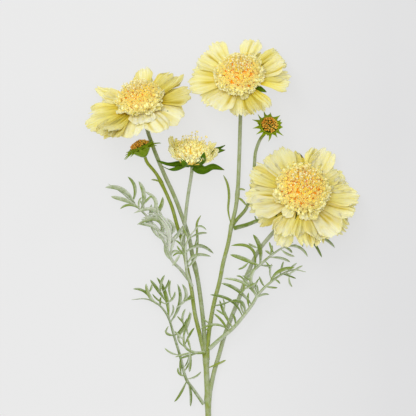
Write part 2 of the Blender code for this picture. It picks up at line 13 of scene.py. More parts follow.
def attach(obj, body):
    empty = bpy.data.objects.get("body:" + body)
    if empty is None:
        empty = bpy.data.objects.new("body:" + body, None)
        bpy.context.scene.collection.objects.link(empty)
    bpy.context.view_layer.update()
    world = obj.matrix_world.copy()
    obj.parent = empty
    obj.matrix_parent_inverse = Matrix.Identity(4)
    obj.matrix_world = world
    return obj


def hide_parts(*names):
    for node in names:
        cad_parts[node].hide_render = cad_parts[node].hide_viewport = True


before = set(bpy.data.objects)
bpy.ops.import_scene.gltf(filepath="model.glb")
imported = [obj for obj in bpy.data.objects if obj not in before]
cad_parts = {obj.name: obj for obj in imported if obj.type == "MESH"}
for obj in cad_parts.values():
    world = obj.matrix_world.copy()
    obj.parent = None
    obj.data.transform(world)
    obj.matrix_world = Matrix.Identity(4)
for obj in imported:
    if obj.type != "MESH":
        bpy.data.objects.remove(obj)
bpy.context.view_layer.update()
print("frame:", len(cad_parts), "nodes")

mm = 0.001
boxMiddle = Vector((0.45, -0.7, 0.0))  # the spray's own zero lies this far from the middle of its box


def place(point):
    return (Vector(point) - boxMiddle) * mm


def srgb(code):
    parts = [int(code[i:i + 2], 16) / 255 for i in (1, 3, 5)]
    return (*[c / 12.92 if c <= 0.04045 else ((c + 0.055) / 1.055) ** 2.4 for c in parts], 1)


def addNode(tree, kind, sockets=(), **settings):
    # one node with its settings, and its sockets linked or given a value. A list gives the sockets in their
    # order, a node stands for its first output, and the stops of a ramp are (place, colour).
    node = tree.nodes.new(kind)
    for name, value in settings.items():
        if name == "stops":
            ramp = node.color_ramp.elements
            while len(ramp) < len(value):
                ramp.new(1)
            for element, (spot, colour) in zip(ramp, value):
                element.position = spot
                element.color = srgb(colour)
        else:
            setattr(node, name, value)
    for key, value in sockets.items() if isinstance(sockets, dict) else enumerate(sockets):
        if isinstance(value, bpy.types.Node):
            value = value.outputs[0]
        if isinstance(value, bpy.types.NodeSocket):
            tree.links.new(value, node.inputs[key])
        else:
            node.inputs[key].default_value = value
    return node


# materials

def startMaterial(name, constants, *numbers):
    # gives the material, what adds a node to it, the object's coordinates and the numbers on the mesh
    material = bpy.data.materials.new(name)
    material.use_nodes = True
    for key, value in constants.items():
        material.node_tree.nodes["Principled BSDF"].inputs[key].default_value = value
    add = functools.partial(addNode, material.node_tree)
    read = [add("ShaderNodeAttribute", attribute_name=word).outputs["Fac"] for word in numbers]
    return material, add, add("ShaderNodeTexCoord").outputs["Object"], *read


def layColours(add, colour, layers):
    # each layer is its share, or a number and the range that makes it a share, and the colour it lays on
    for *numbers, over in layers:
        share = add("ShaderNodeMapRange", numbers) if len(numbers) > 1 else numbers[0]
        colour = add("ShaderNodeMix", {0: share, 6: colour, 7: srgb(over)}, data_type="RGBA").outputs[2]
    return colour


def endMaterial(material, colour, height, strength, depth, sockets=("Base Color",)):
    # a fine relief and the colour reach the shader
    tree = material.node_tree
    bump = addNode(tree, "ShaderNodeBump", {"Strength": strength, "Distance": depth, "Height": height})
    for source, socket in ((bump.outputs[0], "Normal"), *[(colour, socket) for socket in sockets]):
        tree.links.new(source, tree.nodes["Principled BSDF"].inputs[socket])
    return material


def petalTissue(name, stops, veinColour, foldShadeColour, paleColour, oldColour):
    # Fresh ray petal: thin, soft tissue full of water, so light passes through it; the deeper yellow of its
    # folds, read from the fold attribute, is painted shade; fine veins run from the claw out to the scalloped
    # edge.
    material, add, spot, tone, fold = startMaterial(name, {
        "Roughness": 0.55, "IOR": 1.4, "Specular IOR Level": 0.2, "Subsurface Weight": 0.5,
        "Subsurface Scale": 0.0015, "Subsurface Radius": (1.0, 0.9, 0.45), "Sheen Weight": 0.1,
        "Sheen Roughness": 0.4, "Sheen Tint": srgb("#fff6c8")}, "tone", "fold")
    veinMap = add("ShaderNodeUVMap", uv_map="petalUv")
    out = add("ShaderNodeSeparateXYZ", [veinMap]).outputs["Y"]
    # veins: noise drawn out 20 to 1 along the petal, with about 25 lines across its 14 mm
    stretched = add("ShaderNodeVectorMath", [veinMap, (26.0, 1.1, 0.0)], operation="MULTIPLY")
    veins = add("ShaderNodeTexNoise", {"Vector": stretched, "Scale": 1.0, "Detail": 2.0, "Roughness": 0.55})
    cloud = add("ShaderNodeTexNoise", {"Vector": spot, "Scale": 170.0, "Detail": 3.0})
    colour = add("ShaderNodeValToRGB", [out], stops=stops)
    veinShare = add("ShaderNodeMapRange", [veins, 0.46, 0.7, 0.0, 0.75], interpolation_type="SMOOTHSTEP")
    # old petals turn olive, most of all in their folds, where the extra olive is painted shade
    oldness = add("ShaderNodeMapRange", [tone, 0.0, 0.4, 0.5, 0.0])
    ageAndFoldShadeWeight = add("ShaderNodeMath", [fold, 1.2, 0.7], operation="MULTIPLY_ADD")
    oliveAgeAndFoldShade = add("ShaderNodeMath", [oldness, ageAndFoldShadeWeight], operation="MULTIPLY", use_clamp=True)
    # veins, the cream of a pale petal, blotches of 5 to 8 mm, the gold of every claw, painted shade in the
    # folds, and age
    colour = layColours(add, colour, (
        (veinShare, veinColour), (tone, 0.35, 1.0, 0.0, 0.75, paleColour),
        (cloud, 0.45, 0.75, 0.0, 0.55, stops[2][1]), (out, 0.12, 0.45, 0.8, 0.0, stops[1][1]),
        (fold, foldShadeColour), (oliveAgeAndFoldShade, oldColour)))
    return endMaterial(material, colour, veins, 0.45, 0.00014)


def floretTissue(name, throat, middle, tip, glow):
    # Disc floret: the same soft tissue, orange down the throat and pale at its five lobes. It has a faint
    # painted glow in its own colour, which stands in for light coming through its thin wall and keeps the
    # gaps between florets golden.
    material, add, spot, reach, tone, rim = startMaterial(name, {
        "Roughness": 0.55, "IOR": 1.4, "Specular IOR Level": 0.2, "Subsurface Weight": 0.2,
        "Subsurface Scale": 0.001, "Subsurface Radius": (1.0, 0.7, 0.15), "Emission Strength": glow},
        "reach", "tone", "rim")
    grain = add("ShaderNodeTexNoise", {"Vector": spot, "Scale": 900.0, "Detail": 2.0})
    colour = add("ShaderNodeValToRGB", [reach], stops=((0.0, throat), (0.4, middle), (0.85, tip)))
    # some are deeper all over, those at the rim of the disc are pale all over, and all have a fine grain
    colour = layColours(add, colour, ((tone, 0.5, 1.0, 0.0, 0.7, middle), (rim, 0.0, 1.0, 0.0, 0.75, tip),
                                      (grain, 0.45, 0.8, 0.0, 0.4, middle)))
    # the colour also goes to the emission, as its painted glow
    return endMaterial(material, colour, grain, 0.3, 0.00008, ("Base Color", "Emission Color"))


def greenSkin(name, fresh, other, dusty, streak, roughness, shine=0.3, paintedLightSide=0.0):
    # Stalk and leaf skin: smooth green under a waxy, powdery bloom and short down, with paler lengthwise
    # ridges. "bloom" says how much powder lies on it, "rib" where a midrib is, "age" where it browns.
    material, add, spot, bloom, tone, rib, age = startMaterial(name, {
        "Roughness": roughness, "IOR": 1.42, "Specular IOR Level": shine, "Sheen Weight": 0.1 * shine,
        "Sheen Roughness": 0.5, "Sheen Tint": srgb("#e8f0d8"), "Subsurface Weight": 0.1,
        "Subsurface Scale": 0.0008, "Subsurface Radius": (0.5, 1.0, 0.3)}, "bloom", "tone", "rib", "age")
    grain = add("ShaderNodeAttribute", attribute_name="grain").outputs["Vector"]
    # ridges: noise drawn out along the stalk, a few lines round it
    drawnOut = add("ShaderNodeVectorMath", [grain, (4.0, 4.0, 0.06)], operation="MULTIPLY")
    lines = add("ShaderNodeTexNoise", {"Vector": drawnOut, "Scale": 1.0, "Detail": 2.0})
    lineShare = add("ShaderNodeMapRange", [lines, 0.42, 0.66, 0.0, 0.5])
    ribbed = add("ShaderNodeMath", [lineShare, rib], operation="MAXIMUM")
    # powder in patches of 2 to 5 mm with specks of half a millimetre; one side of a stalk is paler still,
    # partly real powder and partly painted light
    powder = bloom
    for scale, detail, uneven, most in ((260.0, 4.0, 0.6, 0.3), (2000.0, 1.0, 0.5, 0.12)):
        patch = add("ShaderNodeTexNoise",
                    {"Vector": spot, "Scale": scale, "Detail": detail, "Roughness": uneven})
        patches = add("ShaderNodeMapRange", [patch, 0.3, 0.7, -most, most])
        powder = add("ShaderNodeMath", [patches, powder], operation="ADD")
    # painted light: one side of each stalk and lobe is paler, as if lit
    across = add("ShaderNodeSeparateXYZ", [grain]).outputs["Y"]
    powder = add("ShaderNodeMath", [across, paintedLightSide, powder], operation="MULTIPLY_ADD", use_clamp=True)
    toned = add("ShaderNodeMath", [tone, 0.8], operation="MULTIPLY")
    colour = layColours(add, srgb(fresh), ((toned, other), (ribbed, streak), (powder, dusty),
                                           (age, "#7a5a2a")))
    return endMaterial(material, colour, lines, 0.4, 0.00012)


def softTissue(name, colour, other, grainSize, roughness=0.5, subsurface=0.2):
    # Small soft parts, filaments and buds: one tissue whose colour drifts over a grain of grainSize mm
    material, add, spot, tone = startMaterial(name, {
        "Roughness": roughness, "IOR": 1.4, "Specular IOR Level": 0.25, "Subsurface Weight": subsurface,
        "Subsurface Scale": 0.0008, "Subsurface Radius": (1.0, 0.8, 0.3)}, "tone")
    grain = add("ShaderNodeTexNoise", {"Vector": spot, "Scale": 1000 / grainSize, "Detail": 3.0})
    both = add("ShaderNodeMath", [grain, tone], operation="ADD")
    colour = layColours(add, srgb(colour), ((both, 0.7, 1.5, 0.0, 1.0, other),))
    return endMaterial(material, colour, grain, 0.3, 0.0001)


# the fourth colour of each petal tissue is the painted shade in its folds
rayTissue = petalTissue("rayPetalTissue", (
    (0.0, "#e6a814"), (0.2, "#edc624"), (0.5, "#f4e170"), (0.8, "#f5edae"), (1.0, "#edebc2")),
    "#e6cc48", "#c4a808", "#f6f1cc", "#a08e10")
creamTissue = petalTissue("creamPetalTissue", (
    (0.0, "#f2b424"), (0.25, "#f8d850"), (0.5, "#f9ea8c"), (0.85, "#faf2b0"), (1.0, "#f9f3bc")),
    "#f2e07c", "#e2c634", "#fbf5c4", "#c0ae2a")
# the last number of each floret tissue is the strength of its painted glow
discTissue = floretTissue("discFloretTissue", "#ff9a0c", "#ffe052", "#fff6a8", 0.05)
paleFloretTissue = floretTissue("paleFloretTissue", "#ffcc3c", "#fff096", "#fffabe", 0.1)
cushionTissue = softTissue("discCushion", "#ffa410", "#ffbc2c", 2.0, 0.6, 0.0)
creamCushionTissue = softTissue("creamCushion", "#fed860", "#fdea90", 2.0)
antherTissue = softTissue("antherTissue", "#fff29c", "#ffdf60", 1.2, 0.5, 0.1)
filamentTissue = softTissue("filamentTissue", "#fef6c8", "#fdeca0", 1.4, 0.45, 0.1)
beadTissue = softTissue("budBeadTissue", "#ffcf58", "#d48e24", 0.9, 0.42, 0.3)
hollowTissue = softTissue("budHollowTissue", "#3c5a0c", "#6b5210", 2.0, 0.6)
# for stemSkin and leafSkin the last number says how much paler one side is, as painted light
stemSkin = greenSkin("stemSkin", "#87962c", "#6a7e20", "#b4bba2", "#a0ab4a", 0.5, 0.25, 0.2)
leafSkin = greenSkin("leafSkin", "#7f9336", "#4e661e", "#cdd2c0", "#9fae62", 0.62, 0.25, 0.35)
bractSkin = greenSkin("bractSkin", "#3e5c02", "#527406", "#688a16", "#64880e", 0.42, 0.08)
calyxSkin = greenSkin("calyxSkin", "#98a814", "#4e7a06", "#a8b83c", "#9cb024", 0.48, 0.08)
downTissue = softTissue("downTissue", "#e4e9cc", "#cdd6ae", 1.0, 0.5, 0.2)
print("materials ready")


# making meshes

def link(name, data):
    obj = bpy.data.objects.new(name, data)
    bpy.context.scene.collection.objects.link(obj)
    return obj


def plainMesh(obj):
    # the evaluated object as a mesh of its own, attributes kept; the object goes
    bpy.context.view_layer.update()
    graph = bpy.context.evaluated_depsgraph_get()
    mesh = bpy.data.meshes.new_from_object(obj.evaluated_get(graph), preserve_all_data_layers=True,
                                           depsgraph=graph)
    bpy.data.objects.remove(obj)
    return mesh


def closeMesh(bm, mesh):
    # the mesh takes the bmesh, with its faces pointing outwards
    bmesh.ops.recalc_face_normals(bm, faces=bm.faces)
    bm.to_mesh(mesh)
    bm.free()
    return mesh


def runTree(name, tree, values, mesh=None):
    obj = link(name, mesh or bpy.data.meshes.new(name))
    modifier = obj.modifiers.new(tree.name, "NODES")
    modifier.node_group = tree
    for item in tree.interface.items_tree:
        if item.item_type == "SOCKET" and item.in_out == "INPUT" and item.name in values:
            modifier[item.identifier] = values[item.name]
    return plainMesh(obj)


def paint(mesh, material):
    mesh.materials.clear()
    mesh.materials.append(material)
    return mesh


def addNumbers(mesh, name, numbers):
    column = np.asarray(numbers, np.float32).ravel()
    mesh.attributes.new(name, "FLOAT", "POINT").data.foreach_set("value", column)


def finishPiece(name, meshes, node):
    # the meshes as one object that rides on the spray's one body and stands for its CAD node
    parts = [link(name, mesh) for mesh in meshes]
    piece = parts[0]
    if len(parts) > 1:
        with bpy.context.temp_override(active_object=piece, object=piece, selected_editable_objects=parts,
                                       selected_objects=parts):
            bpy.ops.object.join()
    mesh = piece.data
    places = np.empty(len(mesh.vertices) * 3, np.float32)
    mesh.vertices.foreach_get("co", places)
    places[2::3] = np.maximum(places[2::3], 0.00002)  # nothing goes below the table
    mesh.vertices.foreach_set("co", places)
    mesh.polygons.foreach_set("use_smooth", [True] * len(mesh.polygons))
    mesh.update()
    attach(piece, "root")
    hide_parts(node)
    mesh.calc_loop_triangles()
    print("piece:", piece.name, len(mesh.loop_triangles), "triangles")


def startTree(name, inputs):
    # a number gives an input its kind and its first value, and a word only its kind
    tree = bpy.data.node_groups.new(name, "GeometryNodeTree")
    for label, value in {"Geometry": "Geometry", **inputs, "Material": "Material"}.items():
        kind = value if isinstance(value, str) else {int: "Int", float: "Float"}[type(value)]
        socket = tree.interface.new_socket(name=label, in_out="INPUT", socket_type="NodeSocket" + kind)
        if value != kind:
            socket.default_value = value
    tree.interface.new_socket(name="Geometry", in_out="OUTPUT", socket_type="NodeSocketGeometry")
    add = functools.partial(addNode, tree)
    return tree, add, add("NodeGroupInput").outputs


def endTree(tree, given, geometry):
    # the export drops instances, so they are made real before the material goes on
    real = addNode(tree, "GeometryNodeRealizeInstances", [geometry])
    painted = addNode(tree, "GeometryNodeSetMaterial", {"Geometry": real, "Material": given["Material"]})
    addNode(tree, "NodeGroupOutput", [painted])
    return tree


def buildSweepTree():
    # sweeps a section along the lines of a mesh; round, ribbed, flat or folded along a keel
    tree, add, given = startTree("sectionSweep", {"Sides": 10, "Ridges": 0.0, "Ridge Depth": 0.0,
                                                  "Flatness": 1.0, "Keel": 0.0})
    facing, width, along, around = [
        add("GeometryNodeInputNamedAttribute", {"Name": word}, data_type=kind).outputs["Attribute"]
        for word, kind in (("facing", "FLOAT_VECTOR"), ("width", "FLOAT"), ("along", "FLOAT"),
                           ("around", "FLOAT_VECTOR"))]
    lines = add("GeometryNodeMeshToCurve", [given["Geometry"]])
    faced = add("GeometryNodeSetCurveNormal", {"Curve": lines, "Normal": facing}, mode="FREE")
    circle = add("GeometryNodeCurvePrimitiveCircle", {"Resolution": given["Sides"], "Radius": 1.0},
                 mode="RADIUS")
    spot = add("GeometryNodeInputPosition")
    x, y, _ = add("ShaderNodeSeparateXYZ", [spot]).outputs
    angle = add("ShaderNodeMath", [y, x], operation="ARCTAN2")
    turns = add("ShaderNodeMath", [angle, given["Ridges"]], operation="MULTIPLY")
    wave = add("ShaderNodeMath", [turns], operation="COSINE")
    swell = add("ShaderNodeMath", [wave, given["Ridge Depth"], 1.0], operation="MULTIPLY_ADD")
    ribbed = add("ShaderNodeVectorMath", {0: spot, "Scale": swell}, operation="SCALE")
    x, y, _ = add("ShaderNodeSeparateXYZ", [ribbed]).outputs
    flat = add("ShaderNodeMath", [x, given["Flatness"]], operation="MULTIPLY")
    side = add("ShaderNodeMath", [y], operation="ABSOLUTE")
    folded = add("ShaderNodeMath", [side, given["Keel"], flat], operation="MULTIPLY_ADD")
    corner = add("ShaderNodeCombineXYZ", [folded, y])
    marked = add("GeometryNodeStoreNamedAttribute", {"Geometry": circle, "Name": "around", "Value": spot},
                 data_type="FLOAT_VECTOR", domain="POINT")
    section = add("GeometryNodeSetPosition", {"Geometry": marked, "Position": corner})
    tube = add("GeometryNodeCurveToMesh",
               {"Curve": faced, "Profile Curve": section, "Scale": width, "Fill Caps": True})
    # "grain" runs round and along the skin with no seam: cosine, sine, millimetres along
    x, y, _ = add("ShaderNodeSeparateXYZ", [around]).outputs
    grain = add("ShaderNodeCombineXYZ", [x, y, along])
    stored = add("GeometryNodeStoreNamedAttribute", {"Geometry": tube, "Name": "grain", "Value": grain},
                 data_type="FLOAT_VECTOR", domain="POINT")
    return endTree(tree, given, stored)


goldenAngle = 2.399963


def buildDomeTree():
    # sets a small piece all over a dome, spiralled by the golden angle as disc florets grow
    tree, add, given = startTree("goldenDome", {
        "Piece": "Object", "Count": 100, "Radius": 10.0, "Height": 6.0, "Foot": 9.0, "First": 0.0,
        "Size": 1.0, "Rim Size": 1.0, "Lean Out": 0.6, "Jitter": 0.3, "Seed": 1})
    # random: the shake of each place, the sway of each axis, and its spin
    shake, sway, spin = [
        add("FunctionNodeRandomValue", {0: low, 1: high, "Seed": given["Seed"]}, data_type="FLOAT_VECTOR")
        for low, high in (((-1.0, -1.0, -1.0), (1.0, 1.0, 1.0)), ((-0.3, -0.3, -0.1), (0.3, 0.3, 0.1)),
                          ((0.0, 0.0, 0.0), (0.0, 0.0, 6.283)))]
    spread, tone = [
        add("FunctionNodeRandomValue", {2: low, 3: high, "Seed": given["Seed"]}, data_type="FLOAT").outputs[1]
        for low, high in ((0.8, 1.2), (0.0, 1.0))]
    index = add("GeometryNodeInputIndex")
    angle = add("ShaderNodeMath", [index, goldenAngle], operation="MULTIPLY")
    after = add("ShaderNodeMath", [index, 0.4], operation="ADD")
    part = add("ShaderNodeMath", [after, given["Count"]], operation="DIVIDE")
    share = add("ShaderNodeMapRange", {0: part, 3: given["First"], 4: 1.0})
    rise = add("ShaderNodeMath", [1.0, share], operation="SUBTRACT")
    square = add("ShaderNodeMath", [rise, rise], operation="MULTIPLY")
    rest = add("ShaderNodeMath", [1.0, square], operation="SUBTRACT")
    ring = add("ShaderNodeMath", [rest], operation="SQRT")
    cosine, sine = [add("ShaderNodeMath", [angle], operation=word) for word in ("COSINE", "SINE")]
    x, y = [add("ShaderNodeMath", [wave, ring], operation="MULTIPLY") for wave in (cosine, sine)]
    onBall = add("ShaderNodeCombineXYZ", [x, y, rise])
    size = add("ShaderNodeCombineXYZ", [given["Radius"], given["Radius"], given["Height"]])
    lift = add("ShaderNodeCombineXYZ", {2: given["Foot"]})
    onDome = add("ShaderNodeVectorMath", [onBall, size, lift], operation="MULTIPLY_ADD")
    shaken = add("ShaderNodeVectorMath", {0: shake, "Scale": given["Jitter"]}, operation="SCALE")
    points = add("GeometryNodePoints", {"Count": given["Count"], "Position": onDome})
    moved = add("GeometryNodeSetPosition", {"Geometry": points, "Offset": shaken})
    # the way each one points: between straight up and square to the dome, a little off at random
    normal = add("ShaderNodeVectorMath", [onBall, size], operation="DIVIDE")
    unit = add("ShaderNodeVectorMath", [normal], operation="NORMALIZE")
    mixed = add("ShaderNodeMix", {0: given["Lean Out"], 4: (0.0, 0.0, 1.0), 5: unit}, data_type="VECTOR")
    way = add("ShaderNodeVectorMath", [mixed.outputs[1], sway], operation="ADD")
    aligned = add("FunctionNodeAlignRotationToVector", {"Vector": way}, axis="Z")
    nearRim = add("ShaderNodeMath", [ring, 5.0], operation="POWER")
    fraction = add("ShaderNodeMix", {0: nearRim, 2: given["Size"], 3: given["Rim Size"]}, data_type="FLOAT")
    scale = add("ShaderNodeMath", [fraction, spread], operation="MULTIPLY")
    piece = add("GeometryNodeObjectInfo", {"Object": given["Piece"]}).outputs["Geometry"]
    copies = add("GeometryNodeInstanceOnPoints",
                 {"Points": moved, "Instance": piece, "Rotation": aligned, "Scale": scale})
    turned = add("GeometryNodeRotateInstances", {"Instances": copies, "Rotation": spin, "Local Space": True})
    for word, number in (("tone", tone), ("rim", nearRim)):
        turned = add("GeometryNodeStoreNamedAttribute", {"Geometry": turned, "Name": word, "Value": number},
                     data_type="FLOAT", domain="INSTANCE")
    return endTree(tree, given, turned)


def buildDownTree():
    # short hairs all over a skin, each a three-sided cone
    tree, add, given = startTree("shortDown", {"Density": 2e5, "Length": 0.0005, "Seed": 1})
    spots = add("GeometryNodeDistributePointsOnFaces",
                {"Mesh": given["Geometry"], "Density": given["Density"], "Seed": given["Seed"]},
                    distribute_method="RANDOM").outputs
    lean = add("FunctionNodeRandomValue", {0: (-0.6, -0.6, -0.6), 1: (0.6, 0.6, 0.6), "Seed": given["Seed"]},
               data_type="FLOAT_VECTOR")
    way = add("ShaderNodeVectorMath", [spots["Normal"], lean], operation="ADD")
    turn = add("FunctionNodeAlignRotationToVector", {"Vector": way}, axis="Z")
    part = add("FunctionNodeRandomValue", {2: 0.5, 3: 1.3, "Seed": given["Seed"]}, data_type="FLOAT")
    size = add("ShaderNodeMath", [part.outputs[1], given["Length"]], operation="MULTIPLY")
    cone = add("GeometryNodeMeshCone",
               {"Vertices": 3, "Radius Top": 0.0, "Radius Bottom": 0.06, "Depth": 1.0}).outputs["Mesh"]
    hairs = add("GeometryNodeInstanceOnPoints",
                {"Points": spots["Points"], "Instance": cone, "Rotation": turn, "Scale": size})
    return endTree(tree, given, hairs)


sweepTree = buildSweepTree()
domeTree = buildDomeTree()
downTree = buildDownTree()


def smoothRoute(points, steps):
    knots = [2 * points[0] - points[1], *points, 2 * points[-1] - points[-2]]
    route = []
    for i in range(1, len(knots) - 2):
        p0, p1, p2, p3 = knots[i - 1:i + 3]
        for k in range(steps):
            t = k / steps
            route.append(0.5 * (2 * p1 + (p2 - p0) * t + (2 * p0 - 5 * p1 + 4 * p2 - p3) * t ** 2
                                + (3 * p1 - p0 - 3 * p2 + p3) * t ** 3))
    return [*route, points[-1]]


def pointOn(route, share):
    at = share * (len(route) - 1)
    i = min(int(at), len(route) - 2)
    return route[i].lerp(route[i + 1], at - i)


def sweepPaths(name, paths, values):
    # every path becomes a line whose vertices know their width, facing, place along, bloom and tone
    points, edges, facings = [], [], []
    numbers = {key: [] for key in ("width", "along", "bloom", "tone")}
    for path in paths:
        first, route, travelled = len(points), path["route"], 0.0
        points += [tuple(p) for p in route]
        edges += [(i, i + 1) for i in range(first, len(points) - 1)]
        for i, point in enumerate(route):
            travelled += (point - route[i - 1]).length / mm if i else 0.0
            tangent = (route[min(i + 1, len(route) - 1)] - route[max(i - 1, 0)]).normalized()
            facing = Vector(path["facing"])
            facings.append(tuple((facing - tangent * facing.dot(tangent)).normalized()))
            numbers["along"].append(travelled + path["tone"] * 500)  # so no two have the same grain
        numbers["width"] += [w * mm for w in path["widths"]]
        numbers["bloom"] += list(path["bloom"])
        numbers["tone"] += [path["tone"]] * len(route)
    mesh = bpy.data.meshes.new(name)
    mesh.from_pydata(points, edges, [])
    for key, column in numbers.items():
        addNumbers(mesh, key, column)
    mesh.attributes.new("facing", "FLOAT_VECTOR", "POINT").data.foreach_set(
        "vector", np.array(facings, np.float32).ravel())
    swept = runTree(name, sweepTree, values, mesh)
    bm = bmesh.new()
    bm.from_mesh(swept)
    return closeMesh(bm, swept)


def turnedMesh(name, profile, sides, matrix, material, bloom=0.0, tone=0.0):
    # a solid turned about +Z from (radius, height) corners, its first and last on the axis
    (_, low), *corners, (_, high) = profile
    points = [(radius * math.cos(math.tau * k / sides), radius * math.sin(math.tau * k / sides), height)
              for radius, height in corners for k in range(sides)] + [(0, 0, low), (0, 0, high)]
    last, foot, tip = len(points) - 2 - sides, len(points) - 2, len(points) - 1
    faces = []
    for k in range(sides):
        after = (k + 1) % sides
        faces += [(foot, after, k), (last + k, last + after, tip)]
        faces += [(i + k, i + after, i + sides + after, i + sides + k) for i in range(0, last, sides)]
    mesh = bpy.data.meshes.new(name)
    mesh.from_pydata(points, [], faces)
    for key, value in (("bloom", bloom), ("tone", tone)):
        addNumbers(mesh, key, [value] * len(mesh.vertices))
    mesh.transform(matrix)
    return paint(mesh, material)


def roundTop(radius, foot, height, last=1.45, corners=9):
    # the corners of a domed profile, from its rim up to the angle where it ends
    return [(radius * math.cos(a), foot + height * math.sin(a)) for a in np.linspace(0, last, corners)]


def sheetsMesh(name, sheets, matrix, thickness, material, lowest=0.0):
    # grids of points as one mesh in metres, thickened to closed solids; extra numbers become attributes
    turn = np.array(matrix)
    points, faces, uvs, first = [], [], [], 0
    numbers = {key: [] for key in sheets[0]["numbers"]}
    for sheet in sheets:
        rows, columns = sheet["points"].shape[:2]
        world = sheet["points"].reshape(-1, 3) @ turn[:3, :3].T + turn[:3, 3]
        world[:, 2] = np.maximum(world[:, 2], lowest)
        points.append(world)
        index = first + np.arange(rows * columns).reshape(rows, columns)
        corners = (index[:-1, :-1], index[1:, :-1], index[1:, 1:], index[:-1, 1:])
        faces.append(np.stack(corners, -1).reshape(-1, 4))
        uvs.append(sheet["uv"].reshape(-1, 2))
        first += rows * columns
        for key, value in sheet["numbers"].items():
            numbers[key].append(np.broadcast_to(value, (rows, columns)).ravel())
    faces = np.concatenate(faces)
    mesh = bpy.data.meshes.new(name)
    mesh.from_pydata(np.concatenate(points).tolist(), [], faces.tolist())
    layer = mesh.uv_layers.new(name="petalUv")
    layer.data.foreach_set("uv", np.concatenate(uvs)[faces.ravel()].astype(np.float32).ravel())
    for key, columns in numbers.items():
        addNumbers(mesh, key, np.concatenate(columns))
    obj = link(name, mesh)
    thicken = obj.modifiers.new("tissue", "SOLIDIFY")
    thicken.thickness = thickness * mm
    thicken.offset = 0
    return paint(plainMesh(obj), material)


# camera, light and table

stage = {
    "cameraMiddle": (-9.0, 25.56, 12.0),  # the spot of the spray under the middle of the picture
    "cameraHeight": 5.0,                  # metres: far off, for hardly any perspective
    "pictureWidth": 0.2995,               # metres across the picture
    "sensor": 36,                         # mm
    # soft boxes: where each hangs, its size in metres and its power in watts
    "boxes": {"keyLight": ((-1.0, 1.3, 1.9), 1.0, 14.5), "frontLight": ((-0.3, 0.4, 3.6), 1.6, 31.0)},
    "worldLight": 0.67,
    "tableColour": "#606060", "tableLeft": "#fbfbfb", "tableShadedRight": "#eeeeef", "tableGlow": 0.7,
}


def buildStage():
    middle = place(stage["cameraMiddle"])
    camera = bpy.data.cameras.new("camera")
    camera.sensor_width = stage["sensor"]
    camera.lens = stage["sensor"] * (stage["cameraHeight"] - middle.z) / stage["pictureWidth"]
    camera.clip_end = 50
    eye = link("camera", camera)
    eye.location = (middle.x, middle.y, stage["cameraHeight"])
    bpy.context.scene.camera = eye

    world = bpy.data.worlds.new("studio")
    bpy.context.scene.world = world
    world.use_nodes = True
    world.node_tree.nodes["Background"].inputs["Color"].default_value = (1, 1, 1, 1)
    world.node_tree.nodes["Background"].inputs["Strength"].default_value = stage["worldLight"]
    for name, (spot, size, power) in stage["boxes"].items():
        lamp = bpy.data.lights.new(name, "AREA")
        lamp.shape = "SQUARE"
        lamp.size = size
        lamp.energy = power
        holder = link(name, lamp)
        holder.location = spot
        holder.rotation_mode = "QUATERNION"
        holder.rotation_quaternion = Vector(spot).to_track_quat("Z", "Y")

    # a light table: matt white plastic lit from below, faintly mottled, and a little greyer to the right,
    # painted shade for light falling off across it
    mesh = bpy.data.meshes.new("table")
    mesh.from_pydata([(-3, -3, 0), (3, -3, 0), (3, 3, 0), (-3, 3, 0)], [], [(0, 1, 2, 3)])
    material, add, spot = startMaterial("lightTable", {
        "Roughness": 0.8, "Base Color": srgb(stage["tableColour"]), "Emission Strength": stage["tableGlow"]})
    # painted shade: the glow dims towards the right
    across = add("ShaderNodeSeparateXYZ", [spot]).outputs["X"]
    share = add("ShaderNodeMapRange", [across, 0.0, 0.12, -0.2, 0.7])
    mottle = add("ShaderNodeTexNoise", {"Vector": spot, "Scale": 9.0, "Detail": 1.0})
    share = add("ShaderNodeMath", [mottle, 0.4, share], operation="MULTIPLY_ADD", use_clamp=True)
    glow = layColours(add, srgb(stage["tableLeft"]), ((share, stage["tableShadedRight"]),))
    tree = material.node_tree
    tree.links.new(glow, tree.nodes["Principled BSDF"].inputs["Emission Color"])
    link("table", paint(mesh, material))
    bpy.context.scene.view_settings.view_transform = "Standard"


buildStage()
print("camera, lights and table ready")


# flower heads

def camel(name):
    first, *others = name.split("_")
    return first + "".join(word.capitalize() for word in others)


# where each head sits, the way it looks, its size, its turn about that way in degrees; "disc" is the disc's
# size, "shift" how far it stands to the upper side, and "gaps" are slits left between the short florets
heads = {
    "left_flower": {"seat": (-55.5, 95.0, 22.5), "axis": (-0.2, 0.77, 0.6), "scale": 1.0,
        "roll": 6, "disc": 0.95, "shift": 2.6, "bractTurn": 0.0, "gaps": ()},
    "top_flower": {"seat": (14.0, 114.5, 14.0), "axis": (-0.05, 0.58, 0.81), "scale": 0.99,
        "roll": 0, "disc": 0.98, "shift": 1.8, "bractTurn": 0.2, "gaps": (147, 272)},
    "right_flower": {"seat": (57.8, 30.8, 7.2), "axis": (0.1, 0.4, 0.91), "scale": 1.09,
        "roll": 14, "disc": 1.0, "shift": 4.4, "bractTurn": -0.12, "gaps": (38, 75, 268)},
    "half_open_flower": {"seat": (-20.5, 55.0, 20.5), "axis": (0.05, 0.97, 0.22), "scale": 1.0,
        "roll": 0},
    "left_bud": {"seat": (-54.3, 62.2, 14.4), "axis": (-0.4, 0.9, 0.12), "scale": 1.04,
        "roll": 16, "rise": -1.4, "tone": 0.8},
    "right_bud": {"seat": (33.5, 82.0, 12.0), "axis": (0.25, 0.45, 0.86), "scale": 0.88,
        "roll": 10, "rise": 1.0, "tone": 0.25},
}


def headFrame(head):
    turn = Vector(head["axis"]).normalized().to_track_quat("Z", "Y").to_matrix().to_4x4()
    roll = Matrix.Rotation(math.radians(head["roll"]), 4, "Z")
    return Matrix.Translation(place(head["seat"])) @ turn @ roll @ Matrix.Scale(mm * head["scale"], 4)


